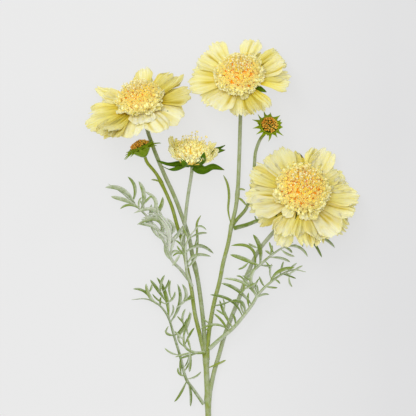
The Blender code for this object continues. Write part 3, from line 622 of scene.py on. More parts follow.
# each petal: azimuth in degrees, reach and half width in mm, its tone, from olive gold (0) to cream (1), and
# where they aren't as usual the width of its claw and how many mm its tip hangs
petalRows = {
    "left_flower": [
        (12, 44.0, 6.3, 0.25), (25, 41.5, 6.6, 0.1), (61, 33.5, 7.4, 0.95, 0.5, 4.5), (79, 25.5, 4.0, 0.3),
        (99, 35.5, 7.6, 0.95, 0.5, 5.5), (133, 33.5, 9.6, 0.95, 0.6, 4.0), (163, 37.0, 6.3, 0.0),
        (188, 34.0, 6.3, 0.2), (213, 35.0, 7.6, 0.2), (233, 30.0, 4.3, 0.35), (254, 39.5, 6.5, 0.6),
        (276, 36.0, 4.1, 0.6), (308, 41.0, 5.4, 0.4), (330, 34.0, 6.3, 0.7), (350, 38.0, 6.3, 0.35),
        (1, 33.0, 6.6, 0.2), (36, 41.0, 5.6, 0.15), (176, 35.0, 5.5, 0.1), (200, 38.0, 5.8, 0.2),
        (222, 36.0, 6.0, 0.1), (320, 30.0, 6.0, 0.6), (77, 24.8, 8.0, 1.0, 0.6, 4.0),
        (38, 39.0, 5.0, 0.0, 0.3, 0.5)],
    "top_flower": [
        (8, 37.5, 6.7, 0.6), (31, 33.0, 6.7, 0.7), (57, 34.5, 7.8, 0.9, 0.5), (84, 30.0, 6.0, 0.65),
        (104, 36.5, 5.4, 0.0), (124, 33.5, 6.0, 0.4), (165, 37.0, 4.8, 0.35), (176, 37.0, 5.6, 0.75),
        (190, 35.0, 6.1, 0.6), (204, 37.0, 5.4, 0.4), (217, 36.5, 4.2, 0.15), (229, 28.0, 4.5, 0.3),
        (249, 37.5, 6.8, 0.75, 0.2), (300, 39.5, 7.3, 0.8, 0.2), (323, 36.5, 6.1, 0.6),
        (343, 36.5, 6.1, 0.4)],
    "right_flower": [
        (358, 38.0, 6.8, 0.65), (342, 36.0, 4.8, 0.2), (328, 38.0, 6.2, 0.4), (8, 35.0, 5.2, 0.3),
        (308, 37.0, 6.0, 0.8), (277, 35.0, 5.0, 0.05), (292, 36.5, 6.4, 0.6), (318, 35.0, 5.2, 0.5),
        (252, 36.5, 5.6, 0.5, 0.2), (246, 33.0, 4.6, 0.3, 0.2), (238, 37.0, 6.4, 0.85, 0.2),
        (208, 33.0, 5.0, 0.4), (218, 31.0, 5.4, 0.5), (187, 34.0, 5.0, 0.3), (197, 33.0, 6.4, 0.7),
        (170, 36.5, 5.4, 0.35), (178, 38.0, 6.0, 0.5, 0.2), (147, 36.5, 6.0, 0.35), (161, 36.5, 6.4, 0.65),
        (96, 37.0, 7.0, 0.55), (132, 36.0, 8.2, 0.9, 0.45), (116, 35.0, 5.4, 0.25), (109, 33.5, 6.8, 0.5),
        (60, 37.0, 6.4, 0.7, 0.2), (85, 31.0, 3.8, 0.3, 0.15), (14, 34.0, 5.2, 0.5),
        (59, 33.0, 6.4, 0.65, 0.12), (34, 34.0, 4.0, 0.3, 0.12), (23, 35.5, 7.4, 0.9, 0.25)],
}

petalLook = {
    "rows": 32, "columns": 30,     # faces along and across an outer petal
    "root": 6.5,                   # mm from the head's axis to the claw
    "thickness": 0.26,             # mm
    "widen": 1.28, "claw": 0.32,   # the ruffled fan is wider than the solid's, and its claw a third of it
    "cup": 0.4, "unevenness": 1.3, "softness": 1.0,
    "pleat": 0.35,                 # mm, the three broad folds
    "gather": 1.3,                 # mm, the uneven lengthwise gathers
    "fine": 0.06,                  # mm, the fine ribs between them
    "ruffle": 2.0,                 # mm, the crinkle of the outer edge
    "crease": 0.35,                # mm, the depth of a sharp crease
    "notch": 0.07, "round": 0.06,  # shares that the tip's notches and corners stand back
    "fray": 0.05,                  # share that the edge is torn
    "curl": (-2.2, 4.2), "roll": (-2.4, 2.0), "twist": 0.5,  # mm at the tip, mm at the sides, radians
    # foot and rise in mm of the upper and the lower layer, and of a short petal that lies over both
    "layers": ((7.1, 2.6), (6.2, -1.2)), "over": (8.6, 2.6), "short": 25,
    # a broad petal, whose claw is wide, is calmer than the rest
    "broadClaw": 0.4,
    "calm": {"softness": 0.4, "gather": 0.7, "crease": 0.15, "fine": 0.03, "notch": 0.03, "round": 0.14,
             "fray": 0.03, "ruffle": 1.5},
    # the short, frilled florets round the disc: how many, how near a gap none stands, in degrees, and between
    # what their length, half width and rise in mm lie
    "inner": 26, "clear": 13,
    "frilledSizes": {"length": (9.5, 14.5), "width": (3.0, 4.8), "rise": (0.5, 6.0)},
    "frilled": {"rows": 12, "columns": 14, "foot": 8.2, "notch": 0.12, "round": 0.08, "claw": 0.5,
                "pleat": 0.2, "gather": 0.7, "fine": 0.05, "ruffle": 1.5, "crease": 0.2, "unevenness": 0.2,
                "softness": 0.5, "cup": 0.6},
    "core": [(0, 5.6), (6.5, 5.6), (9.0, 7.0), (8.6, 9.4), (0, 9.4)],
}


def petalSheet(shape, azimuth, seed, cadSeed, tone):
    # a grid of points in the head's own millimetres, its veins' map, and its folds' depth for painted shade
    cadDraw = random.Random(cadSeed)
    rise = shape["rise"] + cadDraw.uniform(-1, 1) * shape["unevenness"]
    lean = cadDraw.uniform(-1, 1) * shape["unevenness"] * 0.5
    pleat = shape["pleat"] * cadDraw.uniform(0.7, 1.2) * cadDraw.choice((-1, 1))
    draw = random.Random(seed)
    out, side = np.meshgrid(np.linspace(0.05, 1, shape["rows"] + 1), np.linspace(-1, 1, shape["columns"] + 1),
                            indexing="ij")
    soft = shape["softness"]

    def crinkle(x, y, z):
        return np.array([[noise.noise(Vector((s * x + seed, o * y, z))) for s in side[0]] for o in out[:, 0]])

    # the outline: a narrow claw that opens into a fan with three to five scallops and frayed teeth
    lobes = draw.choice((3, 3, 4, 5))
    shift = draw.uniform(-0.3, 0.3)
    notch = shape["notch"] * draw.uniform(0.5, 1.9)
    edge = 1 - notch * (1 - np.abs(np.cos(0.5 * lobes * math.pi * (side + shift))) ** 0.6)
    edge -= shape["round"] * draw.uniform(0.5, 1.6) * np.abs(side - shift * 0.6) ** 2.4
    edge -= 0.07 * np.abs(side) ** 7
    edge += shape["fray"] * crinkle(7.0, 0.0, 1.0)
    reach = shape["root"] + shape["length"] * out * (1 - out ** 3 * (1 - edge))
    fan = shape["claw"] + (1 - shape["claw"]) * np.sin(0.5 * math.pi * np.minimum(out / 0.88, 1) ** 1.6)
    fan *= 1 - 0.15 * np.clip((out - 0.78) / 0.22, 0, 1) ** 2
    spread = shape["width"] * fan * side
    height = (shape["foot"] + rise * out ** 2 + lean * side * out + shape["cup"] * side ** 2 * out
              + pleat * out ** 1.6 * np.cos(3 * math.pi * side))
    # gathers run outwards from the claw, uneven in depth; their valleys get painted shade, deep yellow
    gathers = crinkle(1.7, 0.5, 2.1) + 0.5 * crinkle(3.8, 0.6, 7.3)
    height += shape["gather"] * gathers * out ** 0.8
    height += shape["fine"] * out * np.cos(draw.uniform(9, 12) * math.pi * side + draw.uniform(0, 6.28))
    height += shape["ruffle"] * (crinkle(2.2, 2.4, 4.7) * out ** 1.7 * 1.3
                                 + 0.6 * crinkle(5.0, 3.0, 9.7) * out ** 5)
    fold = np.clip(-gathers * 1.6 - 0.14, 0, 0.5) * np.clip(1.4 - out, 0, 1)
    # the tip droops or lifts, and its sides roll
    height -= draw.uniform(*shape["curl"]) * soft * out ** 4
    height -= draw.uniform(*shape["roll"]) * soft * np.abs(side) ** 2.4 * out ** 1.5
    # a few sharp creases, each over its own part of the length, each with painted shade along it
    for _ in range(draw.choice((1, 2, 3))):
        at, drift, wide = draw.uniform(-0.75, 0.75), draw.uniform(-0.2, 0.2), draw.uniform(0.05, 0.15)
        first, last = draw.uniform(0.0, 0.35), draw.uniform(0.6, 1.1)
        line = np.exp(-((side - at - drift * out) / wide) ** 2) * np.clip((out - first) * 5, 0, 1)
        line *= np.clip((last - out) * 5, 0, 1) * draw.uniform(0.4, 1.0)
        fold += line * 0.7
        height -= line * shape["crease"]
    # it twists about its own middle and bends sideways
    twist = draw.uniform(-1, 1) * shape["twist"] * soft * out ** 1.5
    bend = draw.uniform(-2.2, 2.2) * soft * out ** 2
    middle = height[:, shape["columns"] // 2][:, None]
    sideways = spread * np.cos(twist) - (height - middle) * np.sin(twist) + bend
    height = middle + spread * np.sin(twist) + (height - middle) * np.cos(twist)
    turn = math.radians(azimuth)
    x = reach * math.cos(turn) - sideways * math.sin(turn)
    y = reach * math.sin(turn) + sideways * math.cos(turn)
    return {"points": np.stack((x, y, height), -1), "uv": np.stack(((side + 1) / 2 + seed % 97, out), -1),
            "numbers": {"fold": np.clip(fold, 0, 0.9), "tone": tone}}


def buildPetals(name, head):
    matrix, look = headFrame(head), petalLook
    sheets = []
    for k, (azimuth, reach, halfWidth, tone, *more) in enumerate(petalRows[name]):
        foot, rise = look["layers"][k % 2] if reach > look["short"] else look["over"]
        shape = {**look, "length": reach - look["root"], "width": halfWidth * look["widen"], "foot": foot,
                 "rise": rise - sum(more[1:])}
        if more:
            shape["claw"] = more[0]
            shape.update(look["calm"] if more[0] > look["broadClaw"] else {})
        seed = 31 * k + head["roll"] * 7 + len(name)
        sheets.append(petalSheet(shape, azimuth, seed, k + head["roll"], tone))
    # half of the short florets stand up against the disc
    small, draw = [], random.Random(head["roll"] + 3)
    for k in range(look["inner"]):
        azimuth = 360 * (k + draw.uniform(-0.3, 0.3)) / look["inner"]
        near = min([abs((azimuth - gap + 180) % 360 - 180) for gap in head["gaps"]] + [180])
        sizes = {key: draw.uniform(*ends) for key, ends in look["frilledSizes"].items()}
        if near > look["clear"]:
            seed = 900 + 17 * k + head["roll"]
            shape = {**look, **look["frilled"], **sizes}
            small.append(petalSheet(shape, azimuth, seed, 100 + k, draw.uniform(0.2, 0.95)))
    return [sheetsMesh(name + word, layer, matrix, look["thickness"], tissue, look["thickness"] / 2 * mm)
            for word, layer, tissue in (("Outer", sheets, rayTissue), ("Inner", small, creamTissue))] + [
        turnedMesh(name + "Core", look["core"], 24, matrix, cushionTissue)]


# florets, stamens and beads

def ringsMesh(name, rings, columns, top, reach):
    # stacks rings of (radius by column, height by column) and closes both ends; "reach" is per ring
    bm = bmesh.new()
    layer = bm.verts.layers.float.new("reach")
    loops = []
    for (radii, heights), value in zip(rings, reach):
        loop = []
        for c in range(columns):
            angle = math.tau * c / columns
            radius, height = radii[c % len(radii)], heights[c % len(heights)]
            vertex = bm.verts.new((radius * math.cos(angle), radius * math.sin(angle), height))
            vertex[layer] = value
            loop.append(vertex)
        loops.append(loop)
    for low, high in zip(loops, loops[1:]):
        for c in range(columns):
            bm.faces.new((low[c], low[c - 1], high[c - 1], high[c]))
    bm.faces.new(loops[0])
    tip = bm.verts.new((0, 0, top))
    tip[layer] = reach[-1]
    for c in range(columns):
        bm.faces.new((loops[-1][c], loops[-1][c - 1], tip))
    return closeMesh(bm, bpy.data.meshes.new(name))


def addAnther(filament):
    # an anther lies across the filament's tip, 1.1 mm long
    bm = bmesh.new()
    bm.from_mesh(filament)
    anther = bmesh.ops.create_icosphere(bm, subdivisions=1, radius=1.0)["verts"]
    bmesh.ops.scale(bm, vec=(0.5, 0.24, 0.26), verts=anther)
    bmesh.ops.translate(bm, vec=(0, 0, 3.1), verts=anther)
    for vertex in anther:
        vertex[bm.verts.layers.float["reach"]] = 1.0
    return closeMesh(bm, filament)


# small parts in mm: rings of radii and heights, faces round, where the top closes, each ring's "reach"
smallParts = {
    # a funnel with five blunt lobes round an orange throat, 2.3 mm across
    "floret": ([((0.32,), (0.0,)), ((0.46,), (1.3,)), ((0.62, 1.16), (1.75, 2.1)), ((0.42,), (1.65,))],
               10, 1.2, (0.2, 0.5, 1.0, 0.12)),
    # a young floret seen from its side: a longer tube, its lobes half open
    "tube": ([((0.36,), (0.0,)), ((0.5,), (1.6,)), ((0.56,), (2.9,)), ((0.6, 1.0), (3.4, 3.9)),
              ((0.4,), (3.2,))], 10, 2.8, (0.1, 0.5, 0.8, 1.0, 0.4)),
    # a thin filament
    "stamen": ([((0.09,), (0.0,)), ((0.07,), (1.6,)), ((0.06,), (3.0,))], 3, 3.05, (0, 0.5, 0.7)),
    # an unopened floret: an egg on its base
    "bead": ([((0.55,), (0.0,)), ((0.95,), (0.6,)), ((0.85,), (1.3,)), ((0.4,), (1.8,))],
             7, 1.95, (0.0, 0.4, 0.8, 1.0)),
}
templates = {word: link(word + "Template", ringsMesh(word, *part)) for word, part in smallParts.items()}
addAnther(templates["stamen"].data)

# what the numbers in a row for a dome say, after its small part and its material
domeColumns = ("Count", "Radius", "Height", "Foot", "First", "Size", "Rim Size", "Lean Out", "Jitter", "Seed")


def domePiece(name, matrix, row, radius=1.0, seed=0):
    part, material, *numbers = row
    given = {"Piece": templates[part], "Material": material, **dict(zip(domeColumns, numbers))}
    given["Radius"] *= radius
    given["Seed"] += seed
    mesh = runTree(name, domeTree, given)
    mesh.transform(matrix)
    return mesh


discLook = {
    "radius": 14.0,                                 # mm
    "pinFoot": (0.0, -2.5, 13.0), "pinLean": 0.45,  # mm, and radians to the upper side
    # here the radius of the cushion and of each dome is a share of the disc's
    "cushion": [(0, 8.2), (0.96, 8.2), *roundTop(1.02, 9.8, 7.0), (0, 16.8)],
    "Florets": ("floret", discTissue, 350, 1.0, 6.4, 9.3, 0.0, 1.3, 1.5, 0.8, 0.45, 0),
    "Buds": ("bead", paleFloretTissue, 40, 0.62, 2.0, 14.9, 0.0, 0.6, 0.75, 0.5, 0.4, 3),
    "Stamens": ("stamen", antherTissue, 200, 1.0, 6.3, 9.6, 0.0, 1.05, 1.365, 0.8, 0.6, 1),
    "Pins": ("stamen", filamentTissue, 55, 0.55, 2.2, 0.0, 0.0, 2.5, 1.6, 0.35, 0.8, 2),
    "Tubes": ("tube", paleFloretTissue, 80, 0.98, 5.0, 8.8, 0.62, 1.2, 1.2, 0.95, 0.8, 4),
}


def buildDisc(name, head):
    # the dome stands a little towards the upper side, and so do its long pale filaments, the pins
    look = discLook
    matrix = headFrame(head) @ Matrix.Translation((0, -head["shift"], 0))
    leaning = matrix @ Matrix.Translation(look["pinFoot"]) @ Matrix.Rotation(look["pinLean"], 4, "X")
    radius = look["radius"] * head["disc"]
    profile = [(radius * share, height) for share, height in look["cushion"]]
    meshes = [turnedMesh(name + "Cushion", profile, 32, matrix, cushionTissue)]
    for word in ("Florets", "Buds", "Stamens", "Pins", "Tubes"):
        stand = leaning if word == "Pins" else matrix
        meshes.append(domePiece(name + word, stand, look[word], radius, 11 + head["roll"]))
    return meshes


for name in petalRows:
    finishPiece(camel(name) + "Petals", buildPetals(name, heads[name]), name + "_petals")
    finishPiece(camel(name) + "Disc", buildDisc(name, heads[name]), name + "_disc")


# bracts, cups and calyxes

bractLook = {
    "rows": 14, "columns": 6, "fold": 0.28, "wave": 0.35, "point": 0.8, "belly": 0.6, "facing": (0, 0, 1),
    "bloom": 0.05, "brown": 0.6, "thickness": 0.4,
    "count": 8, "width": 2.9, "start": (3.0, 4.2), "length": 19.5, "rise": -0.6,
    "cup": [(0, 0.3), (1.9, 0.3), (2.6, 1.4), (4.6, 3.4), (6.2, 5.3), (0, 5.3)],
}


def bractSheet(shape, route, seed):
    # a pointed bract along its centre line, folded along the midrib, with a wavy edge
    draw = random.Random(seed)
    out, side = np.meshgrid(np.linspace(0, 1, shape["rows"] + 1), np.linspace(-1, 1, shape["columns"] + 1),
                            indexing="ij")
    centre = np.array([pointOn(smoothRoute(route, 4), share) for share in out[:, 0]])
    tangent = np.gradient(centre, axis=0)
    tangent /= np.linalg.norm(tangent, axis=1)[:, None]
    across = np.cross(np.array(shape["facing"], float), tangent)
    across /= np.linalg.norm(across, axis=1)[:, None]
    up = np.cross(tangent, across)
    outline = ((out + 0.15) / 0.6) ** shape["belly"] * (np.maximum(1 - out, 0) / 0.55) ** shape["point"]
    half = shape["width"] * np.maximum(outline, 0.02)
    wave = np.sin(out * draw.uniform(7, 10) + draw.uniform(0, 6) + side * 1.5) * np.abs(side) * outline
    lift = shape["fold"] * np.abs(side) * half + shape["wave"] * wave
    points = centre[:, None] + across[:, None] * (half * side)[..., None] + up[:, None] * lift[..., None]
    rib = np.exp(-(side / 0.16) ** 2) * 0.8 + 0.35 * np.abs(side) ** 8
    return {"points": points, "uv": np.stack(((side + 1) / 2, out), -1),
            "numbers": {"rib": rib, "tone": draw.random(), "bloom": shape["bloom"],
                        "age": np.clip((out - 0.9) * 6, 0, 1) * shape["brown"]}}


def bractRoute(azimuth, start, length, rise, curl=1.0, swing=0.0):
    way = Vector((math.cos(azimuth), math.sin(azimuth), 0))
    left = Vector((-way.y, way.x, 0))
    return [way * (start[0] + length * t) + left * swing * t * t + Vector((0, 0, start[1] + rise * t ** curl))
            for t in (0, 0.35, 0.68, 1)]


for name in petalRows:
    head, look = heads[name], bractLook
    cup = turnedMesh(name + "Cup", look["cup"], 20, headFrame(head), bractSkin, 0.1)
    sheets = [bractSheet(look, bractRoute(math.tau * k / look["count"] + head["bractTurn"], look["start"],
                                          look["length"], look["rise"] + k % 2), 50 + k)
              for k in range(look["count"])]
    leaves = sheetsMesh(name + "Bracts", sheets, headFrame(head), look["thickness"], bractSkin)
    finishPiece(camel(name) + "Bracts", [cup, leaves], name + "_bracts")

halfOpenLook = {
    # each bract: its centre line in mm of the spray, its half width, the way its face looks, its brown tip
    "bracts": [
        ([(-18.8, 56.0, 22.0), (-12.0, 53.0, 22.5), (-5.5, 55.6, 21.0), (2.8, 52.8, 18.5)],
         3.1, (0.1, -0.5, 1), 1.0),
        ([(-19.2, 56.2, 24.0), (-15.6, 57.6, 30.0), (-13.0, 61.0, 34.0), (-11.6, 65.6, 35.5)],
         3.0, (0.3, -0.7, 1), 0.2),
        ([(-21.8, 56.2, 24.0), (-24.2, 57.0, 29.5), (-26.4, 58.6, 32.5), (-28.2, 61.0, 33.5)],
         2.6, (-0.2, -0.7, 1), 0.2),
        ([(-22.4, 56.0, 21.0), (-30.5, 54.2, 21.0), (-37.0, 53.6, 20.5), (-41.8, 55.6, 20.5)],
         1.2, (0, -1, 0.6), 0.2),
        ([(-22.4, 56.4, 19.5), (-30.0, 57.4, 18.5), (-38.5, 57.4, 20.5), (-45.8, 59.8, 22.5)],
         1.9, (0, -0.5, 1), 0.2),
        ([(-19.0, 56.8, 18.5), (-10.0, 62.0, 14.5), (-3.0, 66.4, 14.0), (3.4, 67.2, 14.5)],
         2.4, (0.2, -0.4, 1), 1.0),
        ([(-19.6, 57.2, 18.0), (-9.0, 65.0, 12.0), (-1.5, 68.4, 12.5), (3.4, 70.8, 14.0)],
         1.7, (0.2, -0.4, 1), 0.2),
    ],
    "bract": {"wave": 0.9, "rows": 18, "columns": 8, "belly": 0.35},
    # each opening petal: azimuth in the head, length, half width, how far it rises, and its tone
    "petals": [
        (-14, 12.5, 5.2, 15.0, 0.55), (14, 12.0, 4.6, 9.0, 0.7), (-32, 12.0, 4.8, 12.0, 0.4),
        (38, 9.5, 4.2, 5.0, 0.9), (66, 9.0, 4.6, 7.0, 0.8), (92, 8.5, 5.2, 6.5, 0.7),
        (118, 9.0, 4.6, 6.5, 0.85), (146, 10.5, 4.4, 6.0, 0.75), (172, 12.5, 4.6, 7.5, 0.6),
        (196, 13.5, 4.4, 10.5, 0.5), (216, 12.5, 4.2, 13.0, 0.7), (262, 10.0, 4.4, 12.0, 0.6),
        (306, 10.0, 4.4, 13.0, 0.6),
    ],
    "petal": {"rows": 18, "columns": 18, "foot": 4.5, "cup": 1.2, "unevenness": 0.4, "softness": 0.6,
              "notch": 0.1, "round": 0.12, "claw": 0.35, "ruffle": 1.4, "gather": 1.0, "root": 6.0},
    "cup": [(0, 0.3), (1.9, 0.3), (3.4, 1.2), (5.4, 2.2), (6.5, 3.0), (0, 3.0)],
    "cushion": [(0, 3.4), (9.0, 3.4), (10.2, 5.0), *roundTop(10.4, 6.0, 10.6, 1.5), (0, 16.6)],
    "Florets": ("tube", paleFloretTissue, 250, 10.4, 10.6, 4.6, 0.0, 1.17, 1.3, 0.55, 0.5, 5),
    "Stamens": ("stamen", antherTissue, 150, 10.8, 11.6, 5.5, 0.0, 1.2, 1.2, 0.6, 0.8, 6),
    "Pins": ("stamen", filamentTissue, 30, 8.0, 8.0, 9.0, 0.0, 2.7, 2.4, 0.35, 1.0, 7),
}


def buildHalfOpenFlower(name, head):
    matrix, look = headFrame(head), halfOpenLook
    spray = Matrix.Translation(-boxMiddle * mm) @ Matrix.Scale(mm, 4)
    cup = turnedMesh(name + "Cup", look["cup"], 20, matrix, bractSkin, 0.1)
    sheets = [bractSheet({**bractLook, **look["bract"], "width": half, "brown": brown, "facing": facing},
                         [Vector(p) for p in route], 70 + k)
              for k, (route, half, facing, brown) in enumerate(look["bracts"])]
    bracts = sheetsMesh(name + "Bracts", sheets, spray, bractLook["thickness"], bractSkin)
    finishPiece("halfOpenBracts", [cup, bracts], name + "_bracts")

    cushion = turnedMesh(name + "Cushion", look["cushion"], 32, matrix, creamCushionTissue)
    domes = [domePiece(name + word, matrix, look[word]) for word in ("Florets", "Stamens", "Pins")]
    sheets = []
    for k, (azimuth, length, half, rise, tone) in enumerate(look["petals"]):
        shape = {**petalLook, **look["petal"], "length": length, "width": half, "rise": rise}
        sheets.append(petalSheet(shape, azimuth, 300 + k, 40 + k, tone))
    petals = sheetsMesh(name + "Petals", sheets, matrix, petalLook["thickness"], creamTissue)
    finishPiece("halfOpenFlorets", [cushion, *domes, petals], name + "_florets")


buildHalfOpenFlower("half_open_flower", heads["half_open_flower"])

budLook = {
    # long pointed bracts, and short broad teeth of the rim between them: how many, how far from the axis and
    # over the foot they start, and between what their length, half width, rise and swing lie, in mm; a long
    # one's rise is a share of its head's
    "bracts": 13, "bractStart": (6.2, 6.0), "bractLength": (5.0, 9.0), "bractWidth": (0.8, 1.25),
    "bractRise": (-0.8, 1.4), "bractSwing": (-3, 3),
    "teeth": 12, "toothStart": (6.6, 5.6), "toothLength": (3.2, 5.0), "toothWidth": (2.0, 2.9),
    "toothRise": (1.5, 3.2),
    "thickness": 0.35,
    "thin": {"columns": 4, "point": 1.1, "belly": 0.1, "fold": 0.5, "wave": 0.15, "bloom": 0.0,
             "brown": 0.2},
    # a bright cup with a thin rim, hollow and dark round the button
    "cup": [(0, 0.3), (1.5, 0.3), (2.8, 1.3), (4.8, 3.3), (6.6, 5.6), (8.4, 8.4), (8.0, 8.7), (6.8, 7.1),
            (5.8, 6.7), (0, 6.7)],
    "hollow": [(0, 6.8), (6.0, 6.8), (7.0, 7.3), (5.4, 7.5), (0, 7.8)],
    "cushion": [(0, 7.7), *roundTop(5.6, 8.0, 3.2, 1.45, 7), (0, 11.2)],
    "beads": ("bead", beadTissue, 95, 5.8, 3.3, 8.0, 0.0, 0.66, 0.759, 0.7, 0.3, 3),
    "down": {"Density": 8e5, "Length": 0.0006, "Seed": 5},
}


def buildBud(name, head):
    matrix, look = headFrame(head), budLook
    draw = random.Random(name)
    cup = turnedMesh(name + "Cup", look["cup"], 26, matrix, calyxSkin, 0.1, head["tone"])
    hollow = turnedMesh(name + "Hollow", look["hollow"], 24, matrix, hollowTissue)
    thin = {**bractLook, **look["thin"]}
    sheets = []
    for k in range(look["bracts"]):
        azimuth = math.tau * (k + draw.uniform(-0.22, 0.22)) / look["bracts"]
        shape = {**thin, "width": draw.uniform(*look["bractWidth"])}
        route = bractRoute(azimuth, look["bractStart"], draw.uniform(*look["bractLength"]),
                           head["rise"] * draw.uniform(*look["bractRise"]), 1.8,
                           draw.uniform(*look["bractSwing"]))
        sheets.append(bractSheet(shape, route, 90 + k))
    for k in range(look["teeth"]):
        azimuth = math.tau * (k + draw.uniform(0.1, 0.6)) / look["teeth"]
        shape = {**thin, "width": draw.uniform(*look["toothWidth"]), "rows": 8}
        route = bractRoute(azimuth, look["toothStart"], draw.uniform(*look["toothLength"]),
                           draw.uniform(*look["toothRise"]))
        sheets.append(bractSheet(shape, route, 120 + k))
    for sheet in sheets:
        sheet["numbers"]["tone"] = 0.6 * head["tone"] + 0.4 * sheet["numbers"]["tone"]
    star = sheetsMesh(name + "Star", sheets, matrix, look["thickness"], calyxSkin)
    down = runTree(name + "Down", downTree, {**look["down"], "Material": downTissue}, cup.copy())
    finishPiece(camel(name) + "Calyx", [cup, hollow, star, down], name + "_calyx")

    cushion = turnedMesh(name + "Cushion", look["cushion"], 24, matrix, hollowTissue)
    beads = domePiece(name + "Beads", matrix, look["beads"])
    finishPiece(camel(name) + "Button", [cushion, beads], name + "_button")


for name in ("left_bud", "right_bud"):
    buildBud(name, heads[name])


# stem

# each stalk: its radius at its foot and at its tip, how much powder lies there, and the points that it passes
# through, from its foot to the head that it carries
stalks = {
    "trunk": ((2.2, 1.9), (0.55, 0.4), [
        (-8.0, -150.0, 2.1), (-8.5, -134.5, 2.2), (-9.0, -112.5, 2.6), (-10.0, -92.5, 3.4),
        (-10.5, -77.5, 4.2)]),
    "left_flower": ((1.55, 1.3), (0.5, 0.6), [
        (-10.3, -84.0, 3.9), (-12.0, -60.0, 5.0), (-14.0, -42.0, 6.0), (-16.5, -25.0, 6.8),
        (-20.0, -9.5, 7.2), (-23.0, 5.5, 7.4), (-31.5, 30.0, 7.6), (-40.5, 50.0, 6.6), (-46.2, 63.5, 4.6),
        (-49.2, 71.5, 4.4), (-52.0, 79.5, 7.6), (-53.6, 86.0, 14.0)]),
    "left_bud": ((1.5, 1.1), (0.3, -0.1), [
        (-10.6, -84.0, 3.9), (-15.0, -65.0, 4.8), (-18.5, -50.0, 5.4), (-21.0, -32.0, 6.0),
        (-24.5, -15.0, 6.5), (-26.5, -2.0, 6.8), (-30.8, 11.5, 7.2), (-35.0, 26.5, 7.6), (-40.8, 40.0, 8.5),
        (-46.0, 50.0, 9.6)]),
    "half_open_flower": ((1.2, 1.2), (0.7, 0.95), [
        (-26.2, -6.0, 6.9), (-26.5, 2.5, 9.2), (-25.5, 15.5, 12.6), (-23.5, 33.0, 15.4)]),
    "top_flower": ((1.5, 1.3), (0.1, 0.85), [
        (-9.6, -84.0, 3.9), (-8.5, -66.5, 4.8), (-6.0, -50.0, 5.3), (-3.5, -38.5, 5.6), (-0.5, -27.0, 5.9),
        (2.0, -14.0, 6.0), (5.5, -0.5, 6.0), (8.0, 12.5, 6.0), (11.0, 25.5, 5.8), (12.5, 38.5, 5.4),
        (13.5, 60.0, 4.8), (14.2, 83.0, 5.0), (14.6, 99.0, 6.0)]),
    "right_flower": ((1.6, 1.25), (0.55, 1.15), [
        (-8.4, -112.0, 2.6), (-5.0, -94.5, 3.0), (-1.0, -80.5, 3.6), (3.0, -66.5, 4.2), (8.5, -52.0, 4.8),
        (14.0, -38.0, 5.4), (20.5, -20.0, 5.8), (27.0, -6.0, 5.6), (35.5, 5.0, 5.0), (45.0, 15.5, 4.4),
        (52.0, 23.0, 4.0)]),
    "right_bud": ((1.2, 1.1), (0.1, 0.75), [
        (8.0, 12.5, 6.0), (12.5, 18.0, 6.0), (18.5, 25.0, 5.6), (21.5, 34.0, 5.2), (23.5, 45.5, 4.8),
        (24.5, 56.5, 4.6), (25.4, 66.0, 4.8), (28.4, 74.5, 6.0)]),
}

# slim undivided leaves at the nodes: half width and points
stemBlades = [
    (0.9, [(-18.7, -13.5, 7.4), (-17.0, -7.0, 11.0), (-16.5, 3.5, 13.0), (-17.0, 14.0, 13.5),
          (-14.0, 20.5, 13.0)]),
    (0.9, [(8.0, 12.5, 6.0), (5.6, 23.5, 7.5), (6.2, 34.5, 8.5), (5.0, 43.0, 8.6), (2.0, 49.5, 8.0)]),
    (0.8, [(11.8, 33.0, 5.6), (15.0, 31.5, 7.0), (19.0, 27.0, 8.6)]),
    (0.7, [(12.0, 38.0, 5.4), (14.6, 39.2, 6.4), (18.0, 38.4, 6.6)]),
    (0.8, [(-9.5, -90.0, 3.6), (-1.0, -86.5, 6.2), (4.0, -84.0, 6.6)]),
    (0.6, [(-43.0, 44.0, 9.0), (-46.5, 45.6, 9.8), (-50.0, 46.0, 10.4)]),
]

stemLook = {
    "sides": 21, "ridges": 7.0, "ridgeDepth": 0.07, "swelling": 0.3, "swellingLength": 3.0,
    "nodes": [(-10.2, -84.0, 3.9), (-8.6, -112.0, 2.6), (8.0, 12.5, 6.0), (-26.2, -6.0, 6.9),
              (12.0, 35.5, 5.5), (-18.0, -17.0, 7.0), (-12.1, -116.0, 2.9), (-43.0, 44.0, 9.0),
              (19.5, -22.5, 5.8)],
    "blades": {"Sides": 8, "Flatness": 0.32, "Keel": 0.3}, "bladeBloom": 0.15,
    "down": {"Density": 2.4e5, "Length": 0.0006, "Seed": 4},
}


def lobeWidth(t):
    # narrow at its foot, then even, and blunt at the tip
    swell = math.sin(0.5 * math.pi * min(1.0, 1.9 * t)) ** 1.6
    return max(0.05, (0.42 + 0.62 * swell) * (1 - t ** 7) ** 0.7)


